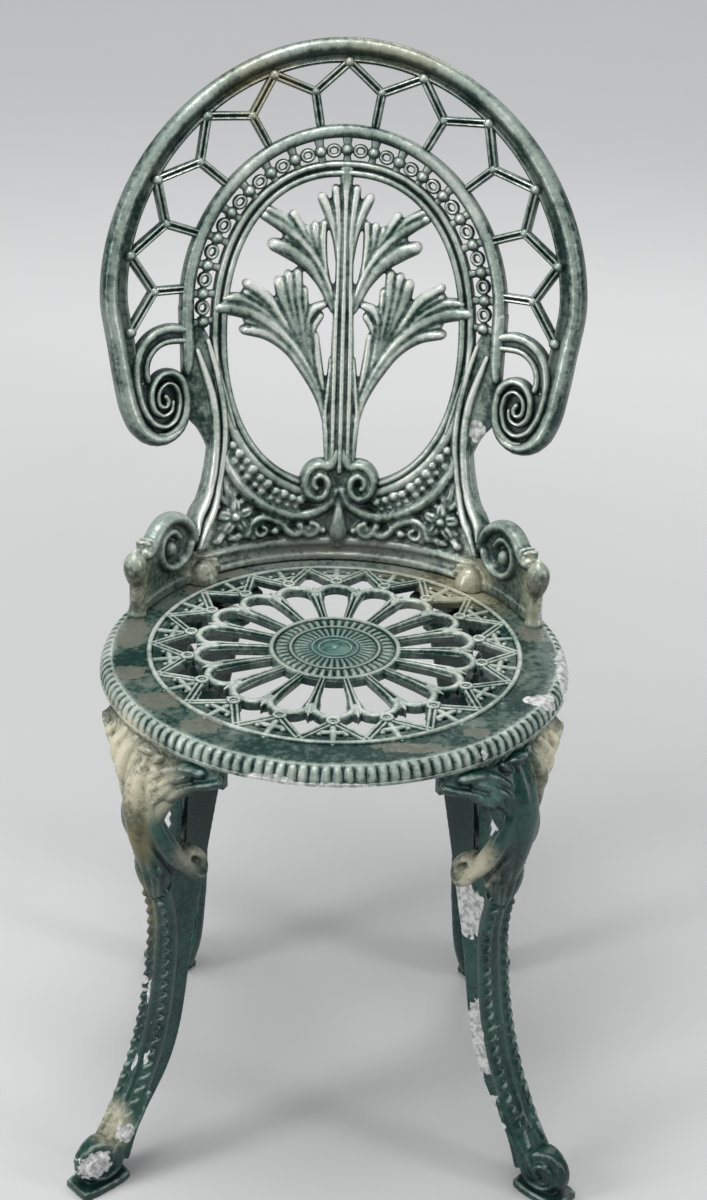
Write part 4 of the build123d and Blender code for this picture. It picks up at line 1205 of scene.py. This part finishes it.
def add_shaft(casting, leg):
    """The shaft with a smooth middle moulding between two rope edges, and the scroll foot."""
    shaft = [(0, 304, 15), (0, 222, 15.5), (0, 96, 15.5), (0, 50, 16), (0, 30, 15.5)]
    casting.stroke(leg.on_face, [(t, z, w, 0.6) for t, z, w in shaft], "flat", LEG_DEPTH, step=4)
    middle = [(0, 262, 4, 3), (0, 222, 5.4, 3.6), (0, 120, 5.4, 3.6), (0, 58, 4, 3.4)]
    casting.stroke(leg.on_face, middle, "round", 6)
    for side in (-1, 1):
        rope = [(11, 262, 4.4, 5), (11.4, 200, 4.8, 5.6), (11.4, 110, 4.8, 5.6), (10, 58, 4, 4.6)]
        casting.rope(leg.on_face, [(side * t, z, w, h) for t, z, w, h in rope], 10.5)
        leaf = [(side * 3, 72), (side * 8, 58), (side * 10, 46)]
        casting.stroke(leg.on_face, finger_line(leaf, 4, 5), "leaf", 6)
    add_foot(casting, leg)


def add_foot(casting, leg):
    """A toe that curls up into a scroll, with a spiral on each side, on a flat plate."""
    middle = leg.toe + 8

    def side_of_scroll(out):
        return SCROLL_HALF - SCROLL_SLANT * (out - middle)

    turn = np.linspace(0, 2 * math.pi, 40, endpoint=False)
    size = np.array([17.5, 19.4, 20, 20, 19.4, 17.5])
    share = np.array([-1, -0.85, -0.4, 0.4, 0.85, 1])
    out = middle + size[:, None] * np.cos(turn)
    level = SCROLL_LEVEL + size[:, None] * np.sin(turn)
    points = leg.world(out, share[:, None] * side_of_scroll(out), level)
    casting.skin(points, np.full(points.shape[:2], 0.45))
    start = [(leg.face(84) - 5, 84, 2.2, 3), (leg.face(62) - 8, 62, 2.8, 4), (leg.toe - 14, 43, 3.2, 5)]
    curl = spiral_line((middle, SCROLL_LEVEL), 158, 590, (17.4, 4.6), (3, 2.6), 5, count=72)
    for sign in (1, -1):
        def on_end(x, z, d, sign=sign):
            return leg.world(x, sign * (side_of_scroll(x) + d), z)

        casting.stroke(on_end, start + curl, "round", LEG_DEPTH)
    x = np.linspace(-PLATE_HALF, PLATE_HALF, 9)
    half = 15.5 - 2.5 * np.abs(x / PLATE_HALF) ** 4
    side = np.stack([-half, half, half, half - 1.5, 1.5 - half, -half], 1)
    points = leg.world(x[:, None] + leg.toe + 4.5 + 0 * side, side, np.array([0, 0, 6, 7, 7, 6]))
    casting.skin(points, np.full(points.shape[:2], 0.5))


def make_leg(name):
    """One whole leg casting."""
    casting = Casting()
    leg = Leg(name)
    add_web(casting, leg)
    add_knee(casting, leg)
    add_shaft(casting, leg)
    return casting.melt(LEG_GRAIN)


# Wear by place, with painted shade on the legs: stains and shade patches have a tint, a strength, a centre
# and radii, patches a tint and their spots, and rubbed places an amount, a centre and radii; heights count
# from the seat's top, on the legs from the floor
back_stains = [
    (OCHRE, 0.45, (-72, 245, 405), (34, 24, 26)),
    (OCHRE, 0.3, (55, 258, 440), (70, 30, 16)),
    (CREAM, 0.75, (118, 124, 12), (20, 20, 18)),
    (CREAM, 0.6, (-118, 124, 12), (18, 18, 16)),
    (TAUPE, 0.5, (0, 168, 8), (135, 34, 16)),
    (CREAM, 0.55, (166, 55, 34), (15, 16, 34)),
    (CREAM, 0.45, (-166, 55, 34), (15, 16, 34)),
    (MINT, 0.6, (-157, 78, 57), (16, 16, 14)),
]
back_patches = [
    (TEAL, [((203, 214, 300), (9, 16, 15))]),
    (PRIMER, [((121, 182, 127), (9, 14, 11)), ((-140, 195, 131), (5, 9, 6)), ((176, 56, 16), (7, 8, 14))]),
]
back_rubbed = [
    (0.17, (0, 215, 215), (85, 60, 120)),
    (0.1, (110, 165, 80), (22, 45, 75)),
    (0.1, (-110, 165, 80), (22, 45, 75)),
    (0.24, (120, 205, 165), (15, 40, 44)),
    (0.24, (-120, 205, 165), (15, 40, 44)),
]
back_paint = worn_green(
    "back_green", SEAT_TOP, 0.0, 0.03, 0.45, 0.02, back_stains, back_patches, back_rubbed)

seat_stains = [
    (MID_GREEN, 0.75, (0, 0, 0), (50, 50, 14)),
    (TEAL, 0.4, (0, 0, 0), (24, 24, 14)),
    (OCHRE, 0.34, (112, 108, 0), (40, 40, 14)),
    (CREAM, 0.3, (118, 116, 0), (34, 34, 14)),
    (OCHRE, 0.4, (70, 150, 0), (40, 16, 14)),
    (CREAM, 0.55, (-160, -106, -14), (40, 40, 8)),
    (SILVER, 0.8, (0, 166, 0), (150, 26, 12)),
]
seat_patches = [
    (TAUPE, [((-171, 22, 0), (14, 34, 12)), ((-166, -48, 0), (16, 15, 12)), ((-138, -92, 0), (21, 15, 12)),
             ((-102, -130, 0), (20, 13, 12)), ((62, -157, 0), (34, 9, 12)), ((112, -131, 0), (14, 8, 12)),
             ((-124, 117, 0), (18, 24, 12)), ((-97, 140, 0), (22, 13, 12)), ((166, 40, 0), (14, 20, 12))]),
    (PRIMER, [((192, -25, -6), (11, 44, 16)), ((168, -78, -1), (17, 10, 9)), ((-50, -192, -14), (24, 12, 7)),
              ((0, -197, -16), (52, 9, 6)), ((120, -158, -4), (9, 7, 9))]),
]
seat_rubbed = [(0.06, (0, 0, 0), (151, 151, 24)), (0.08, (0, 0, -12), (300, 300, 8))]
seat_paint = worn_green(
    "seat_green", SEAT_TOP, -0.09, -0.02, 0.3, 0.06, seat_stains, seat_patches, seat_rubbed)

leg_stains_and_shade = [
    (CREAM, 0.8, (-150, -142, 384), (36, 36, 28)),
    (CREAM, 0.85, (-180, -108, 385), (24, 30, 40)),
    (OCHRE, 0.6, (-152, -139, 338), (14, 14, 34)),
    (CREAM, 0.85, (178, -104, 388), (20, 28, 38)),
    (CREAM, 0.8, (112, -152, 312), (20, 20, 26)),
    (CREAM, 0.6, (-98, -152, 318), (20, 20, 18)),
    (TEAL, 0.6, (118, -158, 388), (12, 12, 12)),
    (CREAM, 0.7, (-178, -163, 54), (16, 16, 18)),
    (OCHRE, 0.35, (-150, -125, 250), (10, 12, 40)),
]
# Painted shade: a dark patch over the web and strut under each knee, where shade falls
for leg_angle in LEG_ANGLES.values():
    inward = math.radians(leg_angle)
    web_shade_centre = (138 * math.sin(inward), -138 * math.cos(inward), 345)
    leg_stains_and_shade.append((SHADE_GREEN, 0.9, web_shade_centre, (34, 34, 62)))
leg_patches = [
    (PRIMER, [((117, -107, 243), (22, 22, 27)), ((133, -122, 122), (22, 22, 42)),
              ((152, -145, 60), (22, 22, 15)), ((129, -144, 354), (10, 10, 9)),
              ((98, -164, 298), (10, 10, 9)), ((-193, -178, 28), (18, 18, 15)),
              ((-150, -122, 168), (3.5, 3.5, 17)), ((-146, -127, 160), (4, 4, 20)),
              ((-159, -142, 95), (4, 4, 22)), ((-172, -150, 104), (5, 5, 10)),
              ((-150, -148, 118), (4, 4, 14)), ((-165, -172, 52), (8, 8, 9))]),
]
leg_paint = worn_green("leg_green", 0.0, -0.24, -0.18, 0.3, 0.08, leg_stains_and_shade, leg_patches)
make_back().build("back_casting", back_paint, ["back"])
make_seat().build("seat_casting", seat_paint, ["seat"])
for leg_name in LEG_ANGLES:
    make_leg(leg_name).build(f"{leg_name}_leg_casting", leg_paint, [f"{leg_name}_leg"])

zinc = zinc_steel()
for node_name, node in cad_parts.items():
    if node_name.endswith(("bolts", "washers")):
        for slot in node.material_slots:
            slot.material = zinc


# Floor, light and camera; the floor's half width is in metres, and its far parts glow a little
FLOOR_HALF = 6.0
FLOOR_GLOW = 0.34

# Solved camera: turns in radians, place from the seat's axis and top, focal length in picture heights
YAW, PITCH, ROLL = 0.00924, 0.46624, 0.02935
CAMERA_Y = -1546.2
CAMERA_UP = 824.6
FOCAL = 2102.9 / 1200
SENSOR = 36.0


def make_floor():
    """A wide pale floor."""
    mesh = bpy.data.meshes.new("floor")
    corners = [(x * FLOOR_HALF, y * FLOOR_HALF, 0) for x, y in ((-1, -1), (1, -1), (1, 1), (-1, 1))]
    mesh.from_pydata(corners, [], [(0, 1, 2, 3)])
    floor = bpy.data.objects.new("floor", mesh)
    bpy.context.scene.collection.objects.link(floor)
    paint = Paint("pale_floor")
    paint.feed(paint.shader["Base Color"], paint.mix(paint.noise(3, 3, 0.5), DARK_FLOOR, PALE_FLOOR))
    paint.feed(paint.shader["Roughness"], 0.8)
    rays = paint.node("ShaderNodeLightPath", {})
    seen = paint.most([rays["Is Camera Ray"], rays["Is Glossy Ray"], rays["Is Transmission Ray"]])
    far = paint.less(1.0, paint.zone((0, 0, 0), (1500, 1500, 1500)))
    paint.feed(paint.shader["Emission Color"], (1, 1, 1, 1))
    paint.feed(paint.shader["Emission Strength"], paint.times(paint.times(far, seen), FLOOR_GLOW))
    mesh.materials.append(paint.material)


def add_light(name, place, aim, size, power):
    """A soft light, wide by tall, at a place in metres and aimed at a point."""
    lamp = bpy.data.lights.new(name, "AREA")
    lamp.shape = "RECTANGLE"
    lamp.size = size[0]
    lamp.size_y = size[1]
    lamp.energy = power
    light = bpy.data.objects.new(name, lamp)
    light.location = place
    light.rotation_euler = (Vector(aim) - Vector(place)).to_track_quat("-Z", "Y").to_euler()
    bpy.context.scene.collection.objects.link(light)


def add_camera():
    """The camera at the photograph's angle, from a solved view of the seat, back and legs."""
    place = Vector((0, CAMERA_Y + AXIS_Y, SEAT_TOP + CAMERA_UP)) * MM
    flat = math.cos(PITCH)
    forward = Vector((math.sin(YAW) * flat, math.cos(YAW) * flat, -math.sin(PITCH)))
    level = Vector((math.cos(YAW), -math.sin(YAW), 0))
    upright = level.cross(forward)
    right = level * math.cos(ROLL) + upright * math.sin(ROLL)
    up = upright * math.cos(ROLL) - level * math.sin(ROLL)
    lens = bpy.data.cameras.new("camera")
    lens.sensor_fit = "VERTICAL"
    lens.sensor_height = SENSOR
    lens.lens = SENSOR * FOCAL
    camera = bpy.data.objects.new("camera", lens)
    camera.matrix_world = Matrix([*zip(right, up, -forward, place), (0, 0, 0, 1)])
    bpy.context.scene.collection.objects.link(camera)
    bpy.context.scene.camera = camera


make_floor()
add_light("sky", (-0.3, -0.2, 2.6), (0, 0, 0.5), (1.3, 1.3), 34)
add_light("left_strip", (-1.8, -1.0, 1.1), (0, 0, 0.65), (0.45, 1.7), 17)
add_light("right_strip", (1.9, -0.9, 1.1), (0, 0, 0.65), (0.4, 1.7), 11)
add_light("back_light", (0.5, 1.9, 2.0), (0, 0, 0.5), (1.2, 1.2), 10)
add_camera()
world = bpy.data.worlds.new("studio")
world.use_nodes = True
sky = world.node_tree.nodes["Background"].inputs
sky["Color"].default_value = (0.9, 0.95, 1, 1)
sky["Strength"].default_value = 0.2
bpy.context.scene.world = world
bpy.context.scene.view_settings.view_transform = "Standard"
